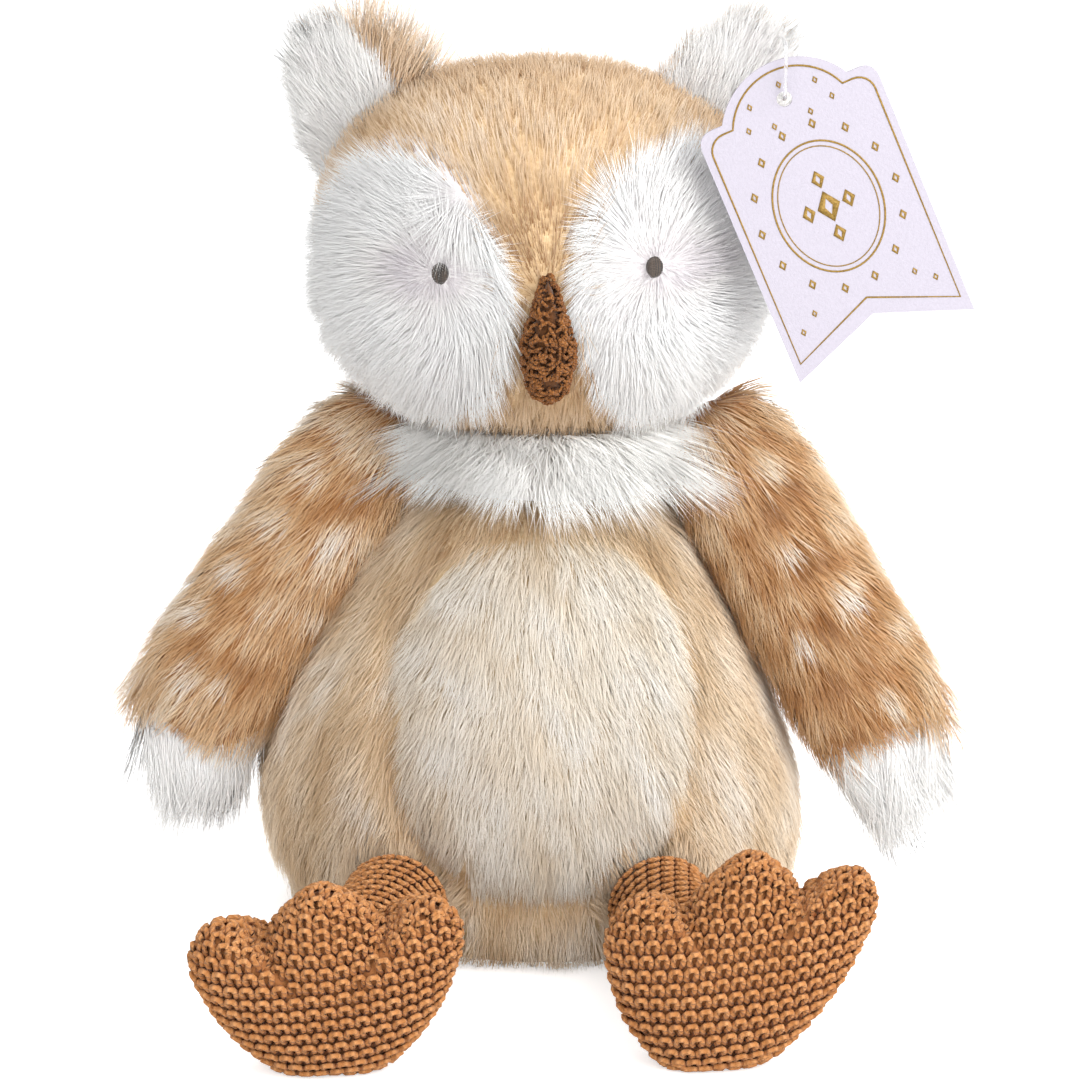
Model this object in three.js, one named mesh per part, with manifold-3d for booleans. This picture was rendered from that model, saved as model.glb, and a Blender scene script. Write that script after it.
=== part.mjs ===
// Sitting plush owl, in millimetres, +Z up, facing -Y, origin at the centre of its flat seat.
// Left is -X, the left of someone who looks at its face.
import * as THREE from 'three';
import { mergeVertices } from 'three/addons/utils/BufferGeometryUtils.js';
import Module from 'manifold-3d';

const wasm = await Module();
wasm.setup();

// Clearances: between pieces that touch, round a limb that swings, and how far a cutter runs past
const seamGap = 0.3;
const swingGap = 0.8;
const overrun = 60;

// Cloth and yarn
const plushThickness = 6;
const baseFabricThickness = 3;
const knitThickness = 2.6;

// Body
const bodyHeight = 132;
const bodyWidth = 156;
const bodyDepth = 131;
const bodyLean = -5;
const bodyCrownPower = 8;
const bodyStationShares = [
  { height: 0, width: 0.77, depth: 0.87 },
  { height: 0.03, width: 0.88, depth: 0.93 },
  { height: 0.12, width: 0.97, depth: 0.98 },
  { height: 0.27, width: 1, depth: 1 },
  { height: 0.45, width: 0.93, depth: 0.94 },
  { height: 0.62, width: 0.8, depth: 0.82 },
  { height: 0.76, width: 0.665, depth: 0.69 },
  { height: 0.88, width: 0.52, depth: 0.57 },
  { height: 0.96, width: 0.38, depth: 0.43 },
  { height: 1, width: 0.18, depth: 0.22 },
];

// Tummy panel, an upright oval let into the front
const tummyWidth = 80;
const tummyHeight = 96;
const tummyCentreX = 0.8;
const tummyCentreHeight = 70;

// Pellet pouch on the seat
const pouchWidth = 92;
const pouchDepth = 76;
const pouchHeight = 24;

// Neck, a ball of stuffing on which the head nods
const neckPivotDrop = 6;
const neckBallRadius = 22;
const nodLimit = 8;

// Neck ruff, a band of locks laid down over the shoulders
const ruffTopShare = 0.985;
const ruffFrontReach = 31;
const ruffSideReach = 7;
const ruffFullAngle = 38;
const ruffLockDepth = 7;
const ruffLockCount = 14;
const ruffRootThickness = 10;
const ruffTipThickness = 4;

// Head
const headWidth = 129;
const headDepth = 108;
const headHeight = 107;
const headCentreHeight = 189.5;
const headForward = 4;
const headProfilePower = 2.3;
const headPlanPower = 2.1;

// Face discs
const discWidth = 61;
const discHeight = 90;
const discCentreX = 35.5;
const discCentreHeight = 187;
const discTilt = 12;

// Eyes, each at the bottom of a shallow socket in its disc
const eyeDiameter = 5.4;
const eyeThickness = 1.6;
const leftEyeX = -27;
const leftEyeHeight = 189.5;
const rightEyeX = 30;
const rightEyeHeight = 191;
const socketBowlRadius = 16;
const socketDepth = 3.4;

// Beak
const beakWidth = 13;
const beakLength = 33;
const beakProud = 7;
const beakCentreX = 1.6;
const beakTopHeight = 189;

// Ears
const earWidth = 48;
const earLength = 72;
const earThickness = 13;
const earCentreX = 45.5;
const earCentreHeight = 219;
const earSetBack = 3;
const earLean = 27;
const earYaw = 18;

// Wings
const wingLength = 104;
const wingWidth = 42;
const wingThickness = 27;
const wingShoulderHeight = 137;
const wingForward = 3;
const wingSweep = 5;
const wingYaw = 14;
const leftWingShoulderX = -45;
const leftWingAngle = 34;
const rightWingShoulderX = 49;
const rightWingAngle = 29.5;
const wingPivotX = 31;
const wingPivotHeight = 134;
const wingLiftLimit = 40;

// White tip of each wing
const tipLength = 33;
const tipWidth = 37;
const tipThickness = 8;
const tipTuck = 10;
const tipAngle = 9;
const tipLockDepth = 8;
const tipLockCount = 5;

// Legs
const legDiameter = 27;
const ankleDiameter = 24;
const leftHipX = -38.5;
const rightHipX = 31;
const legHeight = 19.5;
const legLiftLimit = 45;

// Feet
const footWidth = 66;
const footLength = 55;
const footThickness = 25;
const heelY = -120;
const heelFlat = 0.5;
const leftFootX = -51;
const leftFootTurn = 7;
const leftFootTip = 18;
const leftFootSkewShare = 0.06;
const rightFootX = 45;
const rightFootTurn = 8;
const rightFootTip = 3;
const rightFootSkewShare = 0.26;

// Hang tag
const tagWidth = 49;
const tagSide = 70;
const tagDomeWidth = 34.5;
const tagDomeRise = 10;
const tagNotch = 9.5;
const tagShoulderRound = 4.5;
const tagThickness = 1.2;
const tagHoleDiameter = 4;
const tagHoleX = 62;
const tagHoleY = -49;
const tagHoleHeight = 234.2;
const tagTurn = 23.5;

// Clear loop through the tag's hole and over its edge, into the right ear
const loopWire = 1;
const loopRise = 13.5;
const loopFront = 3;
const loopRootY = 4;
const loopRootRise = 5;

// How finely the forms are faceted, the share of a form over which its slope is taken, and how
// often a range is halved to find a height on the body
const bodySides = 28;
const bodyRings = 10;
const ballSides = 24;
const pouchSides = 18;
const headSides = 24;
const headRings = 12;
const socketSides = 24;
const eyeSides = 12;
const beakSides = 12;
const earSides = 22;
const wingSides = 14;
const wingRings = 8;
const legSides = 16;
const footSides = 30;
const footRings = 4;
const loopSteps = 24;
const loopSides = 5;
const domeSegments = 14;
const sweepSteps = 5;
const slopeStep = 0.01;
const halvings = 24;

const upward = new THREE.Vector3(0, 0, 1);
const rightward = new THREE.Vector3(1, 0, 0);
const backward = new THREE.Vector3(0, 1, 0);

// Six times the signed volume is negative when the faces point inwards
function faceOut(geometry) {
  const place = geometry.getAttribute('position');
  const order = geometry.getIndex().array;
  const [a, b, c] = [new THREE.Vector3(), new THREE.Vector3(), new THREE.Vector3()];
  let volume = 0;
  for (let start = 0; start < order.length; start += 3) {
    a.fromBufferAttribute(place, order[start]);
    b.fromBufferAttribute(place, order[start + 1]);
    c.fromBufferAttribute(place, order[start + 2]);
    volume += a.dot(b.cross(c));
  }
  if (volume < 0) {
    const turned = [];
    for (let start = 0; start < order.length; start += 3) {
      turned.push(order[start], order[start + 2], order[start + 1]);
    }
    geometry.setIndex(turned);
  }
  return geometry;
}

function closedGeometry(points, triangles) {
  const geometry = new THREE.BufferGeometry();
  const numbers = new Float32Array(points.flatMap((point) => [point.x, point.y, point.z]));
  geometry.setAttribute('position', new THREE.BufferAttribute(numbers, 3));
  geometry.setIndex(triangles);
  return faceOut(geometry);
}

function middleOf(ring) {
  const middle = new THREE.Vector3();
  ring.forEach((point) => middle.add(point));
  return middle.divideScalar(ring.length);
}

// A closed skin over a stack of rings, with a fan of faces to a pole at each end
function loft(rings, firstPole = middleOf(rings[0]), lastPole = middleOf(rings[rings.length - 1])) {
  const sides = rings[0].length;
  const last = (rings.length - 1) * sides;
  const first = rings.length * sides;
  const triangles = [];
  for (let side = 0; side < sides; side += 1) {
    const next = (side + 1) % sides;
    for (let start = 0; start < last; start += sides) {
      triangles.push(start + side, start + next, start + sides + next);
      triangles.push(start + side, start + sides + next, start + sides + side);
    }
    triangles.push(first, next, side, first + 1, last + side, last + next);
  }
  return closedGeometry([...rings.flat(), firstPole, lastPole], triangles);
}

// A closed tube of round section along a closed curve
function closedTube(curve, radius, steps, sides) {
  const frames = curve.computeFrenetFrames(steps, true);
  const points = [];
  const triangles = [];
  for (let step = 0; step < steps; step += 1) {
    const centre = curve.getPointAt(step / steps);
    for (let side = 0; side < sides; side += 1) {
      const angle = 2 * Math.PI * side / sides;
      points.push(centre.clone()
        .addScaledVector(frames.normals[step], radius * Math.cos(angle))
        .addScaledVector(frames.binormals[step], radius * Math.sin(angle)));
      const next = (side + 1) % sides;
      const ahead = ((step + 1) % steps) * sides;
      const here = step * sides;
      triangles.push(here + side, here + next, ahead + next, here + side, ahead + next, ahead + side);
    }
  }
  return closedGeometry(points, triangles);
}

function solid(geometry) {
  const bare = new THREE.BufferGeometry();
  bare.setAttribute('position', geometry.getAttribute('position').clone());
  if (geometry.getIndex()) bare.setIndex(geometry.getIndex().clone());
  const merged = mergeVertices(bare);
  return new wasm.Manifold(new wasm.Mesh({
    numProp: 3,
    vertProperties: new Float32Array(merged.getAttribute('position').array),
    triVerts: new Uint32Array(merged.getIndex().array),
  }));
}

function geometryOf(manifold) {
  const mesh = manifold.getMesh();
  const geometry = new THREE.BufferGeometry();
  geometry.setAttribute('position', new THREE.BufferAttribute(new Float32Array(mesh.vertProperties), 3));
  geometry.setIndex(new THREE.BufferAttribute(new Uint32Array(mesh.triVerts), 1));
  return geometry;
}

function block(low, high) {
  const box = new THREE.BoxGeometry(high.x - low.x, high.y - low.y, high.z - low.z);
  const centre = low.clone().add(high).multiplyScalar(1 / 2);
  return solid(box.translate(centre.x, centre.y, centre.z));
}

// All space above a height, as far as the cutters need
function above(height) {
  const reach = bodyWidth + overrun;
  const near = new THREE.Vector3(-reach, -reach, height);
  return block(near, new THREE.Vector3(reach, reach, height + 2 * reach));
}

function ball(centre, radius, sides = ballSides) {
  const sphere = new THREE.SphereGeometry(radius, sides, sides / 2);
  return solid(sphere.rotateX(Math.PI / 2).translate(centre.x, centre.y, centre.z));
}

function turnAbout(pivot, axis, degrees) {
  const turn = new THREE.Matrix4().makeRotationAxis(axis, THREE.MathUtils.degToRad(degrees));
  const there = new THREE.Matrix4().makeTranslation(pivot.x, pivot.y, pivot.z);
  const home = new THREE.Matrix4().makeTranslation(-pivot.x, -pivot.y, -pivot.z);
  return there.multiply(turn).multiply(home);
}

// The space that a fixed form takes up, seen from a limb that turns about its pivot
function sweptPast(geometry, pivot, axis, low, high) {
  const turns = [];
  for (let step = 0; step <= sweepSteps; step += 1) {
    const angle = low + (high - low) * step / sweepSteps;
    turns.push(solid(geometry.clone().applyMatrix4(turnAbout(pivot, axis, -angle))));
  }
  return turns.reduce((sum, next) => sum.add(next));
}

function ovalRing(sides, pointAt) {
  return Array.from({ length: sides }, (_, side) => pointAt(2 * Math.PI * side / sides));
}

// Body: ovals up its height, whose half width and half depth follow the stations
const bodyCurve = new THREE.CatmullRomCurve3(bodyStationShares.map(
  (station) => new THREE.Vector3(station.width, station.depth, station.height),
));

function bodyPoint(share, angle, grow) {
  const station = bodyCurve.getPoint(share);
  const lean = bodyLean * Math.sin(Math.PI * THREE.MathUtils.clamp(station.z, 0, 1));
  return new THREE.Vector3(
    (station.x * bodyWidth / 2 + grow) * Math.cos(angle) + lean,
    (station.y * bodyDepth / 2 + grow) * Math.sin(angle),
    station.z * bodyHeight + grow * Math.max(0, station.z) ** bodyCrownPower,
  );
}

function bodyForm(grow) {
  const rings = Array.from({ length: bodyRings + 1 }, (_, ring) => (
    ovalRing(bodySides, (angle) => bodyPoint(ring / bodyRings, angle, grow))
  ));
  const foot = rings[0].map((point) => point.clone().addScaledVector(upward, -Math.abs(grow)));
  return loft(grow === 0 ? rings : [foot, ...rings]);
}

// How far forward the body's skin stands at a place on its front
function bodyFrontY(x, height) {
  let [low, high] = [0, 1];
  for (let halving = 0; halving < halvings; halving += 1) {
    const share = (low + high) / 2;
    if (bodyPoint(share, 0, 0).z < height) low = share;
    else high = share;
  }
  const lean = bodyPoint(low, Math.PI / 2, 0).x;
  const halfWidth = bodyPoint(low, 0, 0).x - lean;
  const halfDepth = bodyPoint(low, Math.PI / 2, 0).y;
  return -halfDepth * Math.sqrt(Math.max(0, 1 - ((x - lean) / halfWidth) ** 2));
}

function uprightOval(x, height, width, tall, tilt, backY) {
  const rings = [-overrun * 2, backY].map((y) => ovalRing(bodySides, (angle) => (
    new THREE.Vector3(width / 2 * Math.cos(angle), y, tall / 2 * Math.sin(angle))
  )));
  return solid(loft(rings).rotateY(THREE.MathUtils.degToRad(tilt)).translate(x, 0, height));
}

const neckPivot = new THREE.Vector3(0, 0, bodyHeight - neckPivotDrop);
const neckSocket = ball(neckPivot, neckBallRadius + seamGap);
const bodyWall = solid(bodyForm(0)).subtract(solid(bodyForm(-plushThickness))).subtract(neckSocket);

function tummyOval(grow) {
  const [width, tall] = [tummyWidth + 2 * grow, tummyHeight + 2 * grow];
  return uprightOval(tummyCentreX, tummyCentreHeight, width, tall, 0, -neckBallRadius);
}

function makeBodySkin() {
  return bodyWall.subtract(tummyOval(seamGap));
}

function makeTummyPanel() {
  return bodyWall.intersect(tummyOval(0));
}

// The seat: the floor of the skin's inside, as thick as its fabric
function makeBasePanel() {
  const outline = ovalRing(bodySides, (angle) => bodyPoint(0, angle, -plushThickness - seamGap));
  const top = outline.map((point) => point.clone().addScaledVector(upward, baseFabricThickness));
  return solid(loft([outline, top]));
}

function pouchForm(grow) {
  const dome = new THREE.SphereGeometry(1, pouchSides, pouchSides / 2).rotateX(Math.PI / 2);
  dome.scale(pouchWidth / 2 + grow, pouchDepth / 2 + grow, pouchHeight + grow);
  return solid(dome.translate(0, 0, baseFabricThickness + seamGap));
}

function makePelletPouch() {
  return pouchForm(0).intersect(above(baseFabricThickness + seamGap));
}

function makeBodyStuffing() {
  const filling = solid(bodyForm(-plushThickness - seamGap)).intersect(above(baseFabricThickness + seamGap));
  return filling.add(ball(neckPivot, neckBallRadius)).subtract(pouchForm(seamGap));
}

// Head: ovals stacked on a rounded profile
function headForm(grow) {
  const halves = [headWidth / 2 + grow, headDepth / 2 + grow, headHeight / 2 + grow];
  const rings = [];
  for (let ring = 1; ring < headRings; ring += 1) {
    const level = -Math.cos(Math.PI * ring / headRings);
    const spread = (1 - Math.abs(level) ** headProfilePower) ** (1 / headProfilePower);
    rings.push(ovalRing(headSides, (angle) => {
      const [c, s] = [Math.cos(angle), Math.sin(angle)];
      const reach = (Math.abs(c) ** headPlanPower + Math.abs(s) ** headPlanPower) ** (-1 / headPlanPower);
      return new THREE.Vector3(
        halves[0] * spread * reach * c,
        halves[1] * spread * reach * s - headForward,
        halves[2] * level + headCentreHeight,
      );
    }));
  }
  const pole = new THREE.Vector3(0, -headForward, headCentreHeight);
  return loft(
    rings,
    pole.clone().addScaledVector(upward, -halves[2]),
    pole.clone().addScaledVector(upward, halves[2]),
  );
}

function headFrontPoint(x, height) {
  const level = Math.abs(height - headCentreHeight) / (headHeight / 2);
  const spread = (1 - level ** headProfilePower) ** (1 / headProfilePower);
  const side = Math.abs(x) / (headWidth / 2);
  const front = (spread ** headPlanPower - side ** headPlanPower) ** (1 / headPlanPower);
  return new THREE.Vector3(x, -headForward - front * headDepth / 2, height);
}

// The direction in which the front of the head faces at a place
function headFrontNormal(x, height) {
  const here = headFrontPoint(x, height);
  const aside = headFrontPoint(x + seamGap, height).sub(here);
  const over = headFrontPoint(x, height + seamGap).sub(here);
  return aside.cross(over).normalize();
}

const headWall = solid(headForm(0)).subtract(solid(headForm(-plushThickness))).subtract(neckSocket);

function discOval(side, grow) {
  const [width, tall] = [discWidth + 2 * grow, discHeight + 2 * grow];
  return uprightOval(side * discCentreX, discCentreHeight, width, tall, side * discTilt, -headForward);
}

function makeHeadSkin() {
  return headWall.subtract(discOval(-1, seamGap)).subtract(discOval(1, seamGap));
}

function makeFaceDisc(side, eyeX, eyeHeight) {
  const bowlMiddle = headFrontPoint(eyeX, eyeHeight).addScaledVector(
    headFrontNormal(eyeX, eyeHeight),
    socketBowlRadius - socketDepth,
  );
  return headWall.intersect(discOval(side, 0)).subtract(ball(bowlMiddle, socketBowlRadius, socketSides));
}

function makeEye(eyeX, eyeHeight) {
  const normal = headFrontNormal(eyeX, eyeHeight);
  const lens = new THREE.SphereGeometry(1, eyeSides, eyeSides / 2);
  lens.scale(eyeDiameter / 2, eyeThickness / 2, eyeDiameter / 2);
  lens.applyQuaternion(new THREE.Quaternion().setFromUnitVectors(backward, normal));
  const lift = eyeThickness / 2 + seamGap - socketDepth;
  const seat = headFrontPoint(eyeX, eyeHeight).addScaledVector(normal, lift);
  return solid(lens.translate(seat.x, seat.y, seat.z));
}

function makeHeadStuffing() {
  return solid(headForm(-plushThickness - seamGap)).subtract(ball(neckPivot, neckBallRadius + seamGap));
}

// Beak: a spindle on the front of the head, thin at the top, with its back cut to the head
const beakProfileShares = [[0.06, 0.16], [0.25, 0.48], [0.45, 0.86], [0.6, 1], [0.78, 0.84], [0.94, 0.5]];

function makeBeak() {
  const placeAt = (share) => headFrontPoint(beakCentreX, beakTopHeight - share * beakLength);
  const rings = beakProfileShares.map(([place, swell]) => {
    const centre = placeAt(place);
    return ovalRing(beakSides, (angle) => new THREE.Vector3(
      centre.x + beakWidth / 2 * swell * Math.cos(angle),
      centre.y + beakProud * Math.sqrt(swell) * Math.sin(angle),
      centre.z,
    ));
  });
  return solid(loft(rings, placeAt(0), placeAt(1))).subtract(solid(headForm(seamGap)));
}

// Ear: a flat pillow sewn from a white front and a tan back, cut where it stands on the head
function makeEarHalf(side, isFront) {
  const pillow = new THREE.SphereGeometry(1, earSides, earSides / 2);
  pillow.scale(earWidth / 2, earThickness / 2, earLength / 2);
  const far = new THREE.Vector3(overrun, overrun, overrun);
  const near = new THREE.Vector3(-overrun, seamGap / 2, -overrun);
  const behind = block(near, far);
  const ahead = block(far.clone().negate(), near.clone().negate());
  const half = geometryOf(solid(pillow).intersect(isFront ? ahead : behind));
  half.rotateZ(THREE.MathUtils.degToRad(side * earYaw));
  half.rotateY(THREE.MathUtils.degToRad(side * earLean));
  half.translate(side * earCentreX, earSetBack, earCentreHeight);
  return solid(half).subtract(solid(headForm(seamGap)));
}

// Neck ruff: locks that follow the body down from the neck, long in front and behind, short at the sides
function ruffForm(grow) {
  const around = ruffLockCount * 2;
  const layers = [];
  const steps = 2;
  const fullAngle = THREE.MathUtils.degToRad(ruffFullAngle);
  const walk = [];
  for (let step = 0; step <= steps; step += 1) walk.push({ along: step / steps, side: 0 });
  for (let step = steps; step >= 0; step -= 1) walk.push({ along: step / steps, side: 1 });
  for (let spoke = 0; spoke < around; spoke += 1) {
    const angle = 2 * Math.PI * spoke / around;
    const lock = spoke % 2;
    const facing = Math.min(1, Math.abs(Math.sin(angle)) / Math.sin(fullAngle)) ** 2;
    const reach = THREE.MathUtils.lerp(ruffSideReach, ruffFrontReach - ruffLockDepth * lock, facing) + grow;
    layers.push(walk.map(({ along, side }) => {
      const share = ruffTopShare - along * reach / bodyHeight;
      const here = bodyPoint(share, angle, 0);
      const slope = bodyPoint(share - slopeStep, angle, 0).sub(here).normalize();
      const aside = bodyPoint(share, angle + slopeStep, 0).sub(here).normalize();
      const normal = aside.cross(slope).normalize().negate();
      const thickness = THREE.MathUtils.lerp(ruffRootThickness, ruffTipThickness, along) + grow;
      return here.addScaledVector(normal, side === 0 ? thickness : 2 * seamGap - grow / 2);
    }));
  }
  const points = layers.flat();
  const triangles = [];
  const loop = walk.length;
  for (let spoke = 0; spoke < around; spoke += 1) {
    const here = spoke * loop;
    const next = ((spoke + 1) % around) * loop;
    for (let step = 0; step < loop; step += 1) {
      const ahead = (step + 1) % loop;
      triangles.push(here + step, next + step, next + ahead, here + step, next + ahead, here + ahead);
    }
  }
  return closedGeometry(points, triangles);
}

function makeNeckRuff() {
  const noddingHead = sweptPast(headForm(swingGap), neckPivot, rightward, -nodLimit, nodLimit);
  const collar = solid(ruffForm(0)).subtract(solid(bodyForm(seamGap))).subtract(noddingHead);
  return collar.subtract(ball(neckPivot, neckBallRadius + swingGap));
}

// A frame for a limb: X across it, Y out of its back, Z along it
function limbFrame(origin, along, facing) {
  const front = facing.clone().addScaledVector(along, -facing.dot(along)).normalize();
  const width = new THREE.Vector3().crossVectors(along, front);
  return new THREE.Matrix4().makeBasis(width, front.negate(), along).setPosition(origin);
}

function downward(side, angle, sweep) {
  const [out, ahead] = [THREE.MathUtils.degToRad(angle), THREE.MathUtils.degToRad(sweep)];
  return new THREE.Vector3(
    side * Math.sin(out) * Math.cos(ahead),
    -Math.sin(ahead),
    -Math.cos(out) * Math.cos(ahead),
  );
}

const wingPlans = {
  left: { side: -1, shoulderX: leftWingShoulderX, angle: leftWingAngle },
  right: { side: 1, shoulderX: rightWingShoulderX, angle: rightWingAngle },
};

function wingFrame({ side, shoulderX, angle }) {
  const yaw = THREE.MathUtils.degToRad(wingYaw);
  const shoulder = new THREE.Vector3(shoulderX, -wingForward, wingShoulderHeight);
  const facing = new THREE.Vector3(side * Math.sin(yaw), -Math.cos(yaw), 0);
  return limbFrame(shoulder, downward(side, angle, wingSweep), facing);
}

// Wing: a long flat pillow whose width and thickness swell and taper along it
const wingStationShares = [
  { along: 0.02, width: 0.42, thickness: 0.3 },
  { along: 0.08, width: 0.75, thickness: 0.58 },
  { along: 0.2, width: 0.93, thickness: 0.85 },
  { along: 0.4, width: 0.98, thickness: 1 },
  { along: 0.65, width: 1, thickness: 0.98 },
  { along: 0.85, width: 1, thickness: 0.86 },
  { along: 0.94, width: 0.88, thickness: 0.66 },
  { along: 0.985, width: 0.62, thickness: 0.36 },
];
const wingCurve = new THREE.CatmullRomCurve3(wingStationShares.map(
  (station) => new THREE.Vector3(station.width, station.thickness, station.along),
));

// A growth is added to the size; a lining is drawn in with the share, so that thin ends stay open
function fitted(share, half, grow) {
  return grow < 0 ? share * (half + grow) : share * half + grow;
}

function wingForm(plan, grow) {
  const rings = Array.from({ length: wingRings + 1 }, (_, ring) => {
    const station = wingCurve.getPoint(ring / wingRings);
    return ovalRing(wingSides, (angle) => new THREE.Vector3(
      fitted(station.x, wingWidth / 2, grow) * Math.cos(angle),
      fitted(station.y, wingThickness / 2, grow) * Math.sin(angle),
      wingLength / 2 + (station.z - 1 / 2) * (wingLength + 2 * grow),
    ));
  });
  const top = new THREE.Vector3(0, 0, -grow);
  const end = new THREE.Vector3(0, 0, wingLength + grow);
  return loft(rings, top, end).applyMatrix4(wingFrame(plan));
}

function wingPivot(side) {
  return new THREE.Vector3(side * wingPivotX, -wingForward, wingPivotHeight);
}

function wingAxis(side) {
  return backward.clone().multiplyScalar(-side);
}

// What a wing must clear from rest to its highest lift: the body, the ruff and the nodding head
function wingObstacles(side) {
  const [pivot, axis] = [wingPivot(side), wingAxis(side)];
  const head = headForm(swingGap + neckBallRadius * Math.sin(THREE.MathUtils.degToRad(nodLimit)));
  return [bodyForm(seamGap), ruffForm(swingGap), head]
    .map((form) => sweptPast(form, pivot, axis, 0, wingLiftLimit))
    .reduce((sum, next) => sum.add(next));
}

function wingHalfSpace(plan, isFront) {
  const reach = wingLength + overrun;
  const near = new THREE.Vector3(-reach, seamGap / 2, -reach);
  const far = new THREE.Vector3(reach, reach, reach);
  const box = isFront ? block(far.clone().negate(), near.clone().negate()) : block(near, far);
  return solid(geometryOf(box).applyMatrix4(wingFrame(plan)));
}

function makeWing(name, plan) {
  const obstacles = wingObstacles(plan.side);
  const wall = solid(wingForm(plan, 0)).subtract(solid(wingForm(plan, -plushThickness))).subtract(obstacles);
  return {
    [`${name}_wing_front`]: wall.intersect(wingHalfSpace(plan, true)),
    [`${name}_wing_back`]: wall.intersect(wingHalfSpace(plan, false)),
    [`${name}_wing_stuffing`]: solid(wingForm(plan, -plushThickness - seamGap)).subtract(obstacles),
    [`${name}_wing_tip`]: makeWingTip(plan),
  };
}

// The white tip: a thin fan of long locks that starts inside the wing's end
function makeWingTip(plan) {
  const outline = new THREE.Shape();
  const [rootHalf, endHalf] = [tipWidth / 2, tipWidth / 3];
  outline.moveTo(-rootHalf * 3 / 4, 0);
  outline.lineTo(-rootHalf, tipTuck);
  for (let lock = 0; lock < tipLockCount; lock += 1) {
    const across = THREE.MathUtils.lerp(-endHalf, endHalf, (lock + 1 / 2) / tipLockCount);
    const notch = THREE.MathUtils.lerp(-endHalf, endHalf, (lock + 1) / tipLockCount);
    const shorter = tipLockDepth * Math.abs(across / endHalf);
    outline.lineTo(across, tipLength - shorter);
    if (lock + 1 < tipLockCount) outline.lineTo(notch, tipLength - shorter - tipLockDepth);
  }
  outline.lineTo(rootHalf, tipTuck);
  outline.lineTo(rootHalf * 3 / 4, 0);
  outline.closePath();
  const fan = new THREE.ExtrudeGeometry(outline, { depth: tipThickness, bevelEnabled: false });
  fan.translate(0, 0, -tipThickness / 2).rotateX(Math.PI / 2);
  const end = new THREE.Vector3(0, 0, wingLength - tipTuck).applyMatrix4(wingFrame(plan));
  const facing = new THREE.Vector3(0, -1, 0).transformDirection(wingFrame(plan));
  fan.applyMatrix4(limbFrame(end, downward(plan.side, tipAngle, wingSweep), facing));
  return solid(fan).subtract(solid(wingForm(plan, seamGap)));
}

// Feet: an upright pad with three toes, sole to the front, on its heel
const footPlans = {
  left: { x: leftFootX, turn: leftFootTurn, tip: leftFootTip, skew: leftFootSkewShare, hipX: leftHipX },
  right: { x: rightFootX, turn: rightFootTurn, tip: rightFootTip, skew: rightFootSkewShare, hipX: rightHipX },
};
const legStationShares = [0, 0.3, 0.65, 1];
const footMiddleShare = 0.45;
const footRimPower = 0.75;
const toeThinShare = 0.3;
const footOutlineShares = [
  [0, 0], [0.2, 0.04], [0.38, 0.28], [0.48, 0.55], [0.5, 0.72], [0.43, 0.85], [0.33, 0.84], [0.23, 0.76],
  [0.15, 0.88], [0, 1],
];

function footOutline() {
  const half = footOutlineShares.map(([x, z]) => new THREE.Vector3(x * footWidth, 0, z * footLength));
  const mirrored = half.slice(1, -1).reverse().map((point) => new THREE.Vector3(-point.x, 0, point.z));
  return new THREE.CatmullRomCurve3([...half, ...mirrored], true, 'centripetal');
}

function footFrame({ x, turn, tip, skew }) {
  const heel = new THREE.Vector3(x, heelY, -heelFlat);
  const roll = new THREE.Matrix4().makeRotationY(THREE.MathUtils.degToRad(-turn));
  const lean = new THREE.Matrix4().makeRotationX(THREE.MathUtils.degToRad(tip));
  const slant = new THREE.Matrix4().makeShear(0, 0, 0, 0, skew, 0);
  const there = new THREE.Matrix4().makeTranslation(heel.x, heel.y, heel.z);
  return there.multiply(roll).multiply(lean).multiply(slant);
}

// The outline swells from nothing at the sole's crown to full at the rim and back, thinner at the toes
function footForm(plan, grow, fill = 1) {
  const outline = footOutline();
  const middle = new THREE.Vector3(0, 0, footLength * footMiddleShare);
  const crown = footThickness / 2 + grow;
  const rings = [];
  for (let ring = 1; ring < 2 * footRings; ring += 1) {
    const angle = Math.PI * ring / (2 * footRings);
    rings.push(Array.from({ length: footSides }, (_, side) => {
      const rim = outline.getPointAt(side / footSides).sub(middle);
      const spread = Math.sin(angle) ** footRimPower;
      const thin = 1 - toeThinShare * Math.max(0, rim.z) / footLength * spread;
      const point = rim.multiplyScalar(spread * (1 + grow / rim.length())).add(middle);
      return point.setY(-crown * thin * Math.cos(angle));
    }));
  }
  const [front, rear] = [middle.clone().setY(-crown), middle.clone().setY(crown)];
  const pad = loft(rings, front, rear).translate(0, 0, -middle.z).scale(fill, fill, fill);
  return pad.translate(0, 0, middle.z).applyMatrix4(footFrame(plan));
}

function hipPoint(plan) {
  return new THREE.Vector3(plan.hipX, bodyFrontY(plan.hipX, legHeight), legHeight);
}

function legPivot(plan) {
  const height = legHeight + legDiameter / 2;
  return new THREE.Vector3(plan.hipX, bodyFrontY(plan.hipX, height), height);
}

// A leg: a round tube from inside the body to inside the foot, a little narrower at the ankle
function legForm(plan, grow, past) {
  const hip = hipPoint(plan);
  const ankle = new THREE.Vector3(plan.x, heelY, legHeight);
  const along = ankle.clone().sub(hip).normalize();
  const start = hip.clone().addScaledVector(along, -past);
  const span = ankle.distanceTo(start);
  const rings = legStationShares.map((share) => {
    const radius = THREE.MathUtils.lerp(legDiameter, ankleDiameter, share) / 2 + grow;
    return ovalRing(legSides, (angle) => new THREE.Vector3(
      radius * Math.cos(angle),
      radius * Math.sin(angle),
      share * span,
    ));
  });
  return loft(rings).applyMatrix4(limbFrame(start, along, upward));
}

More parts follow.
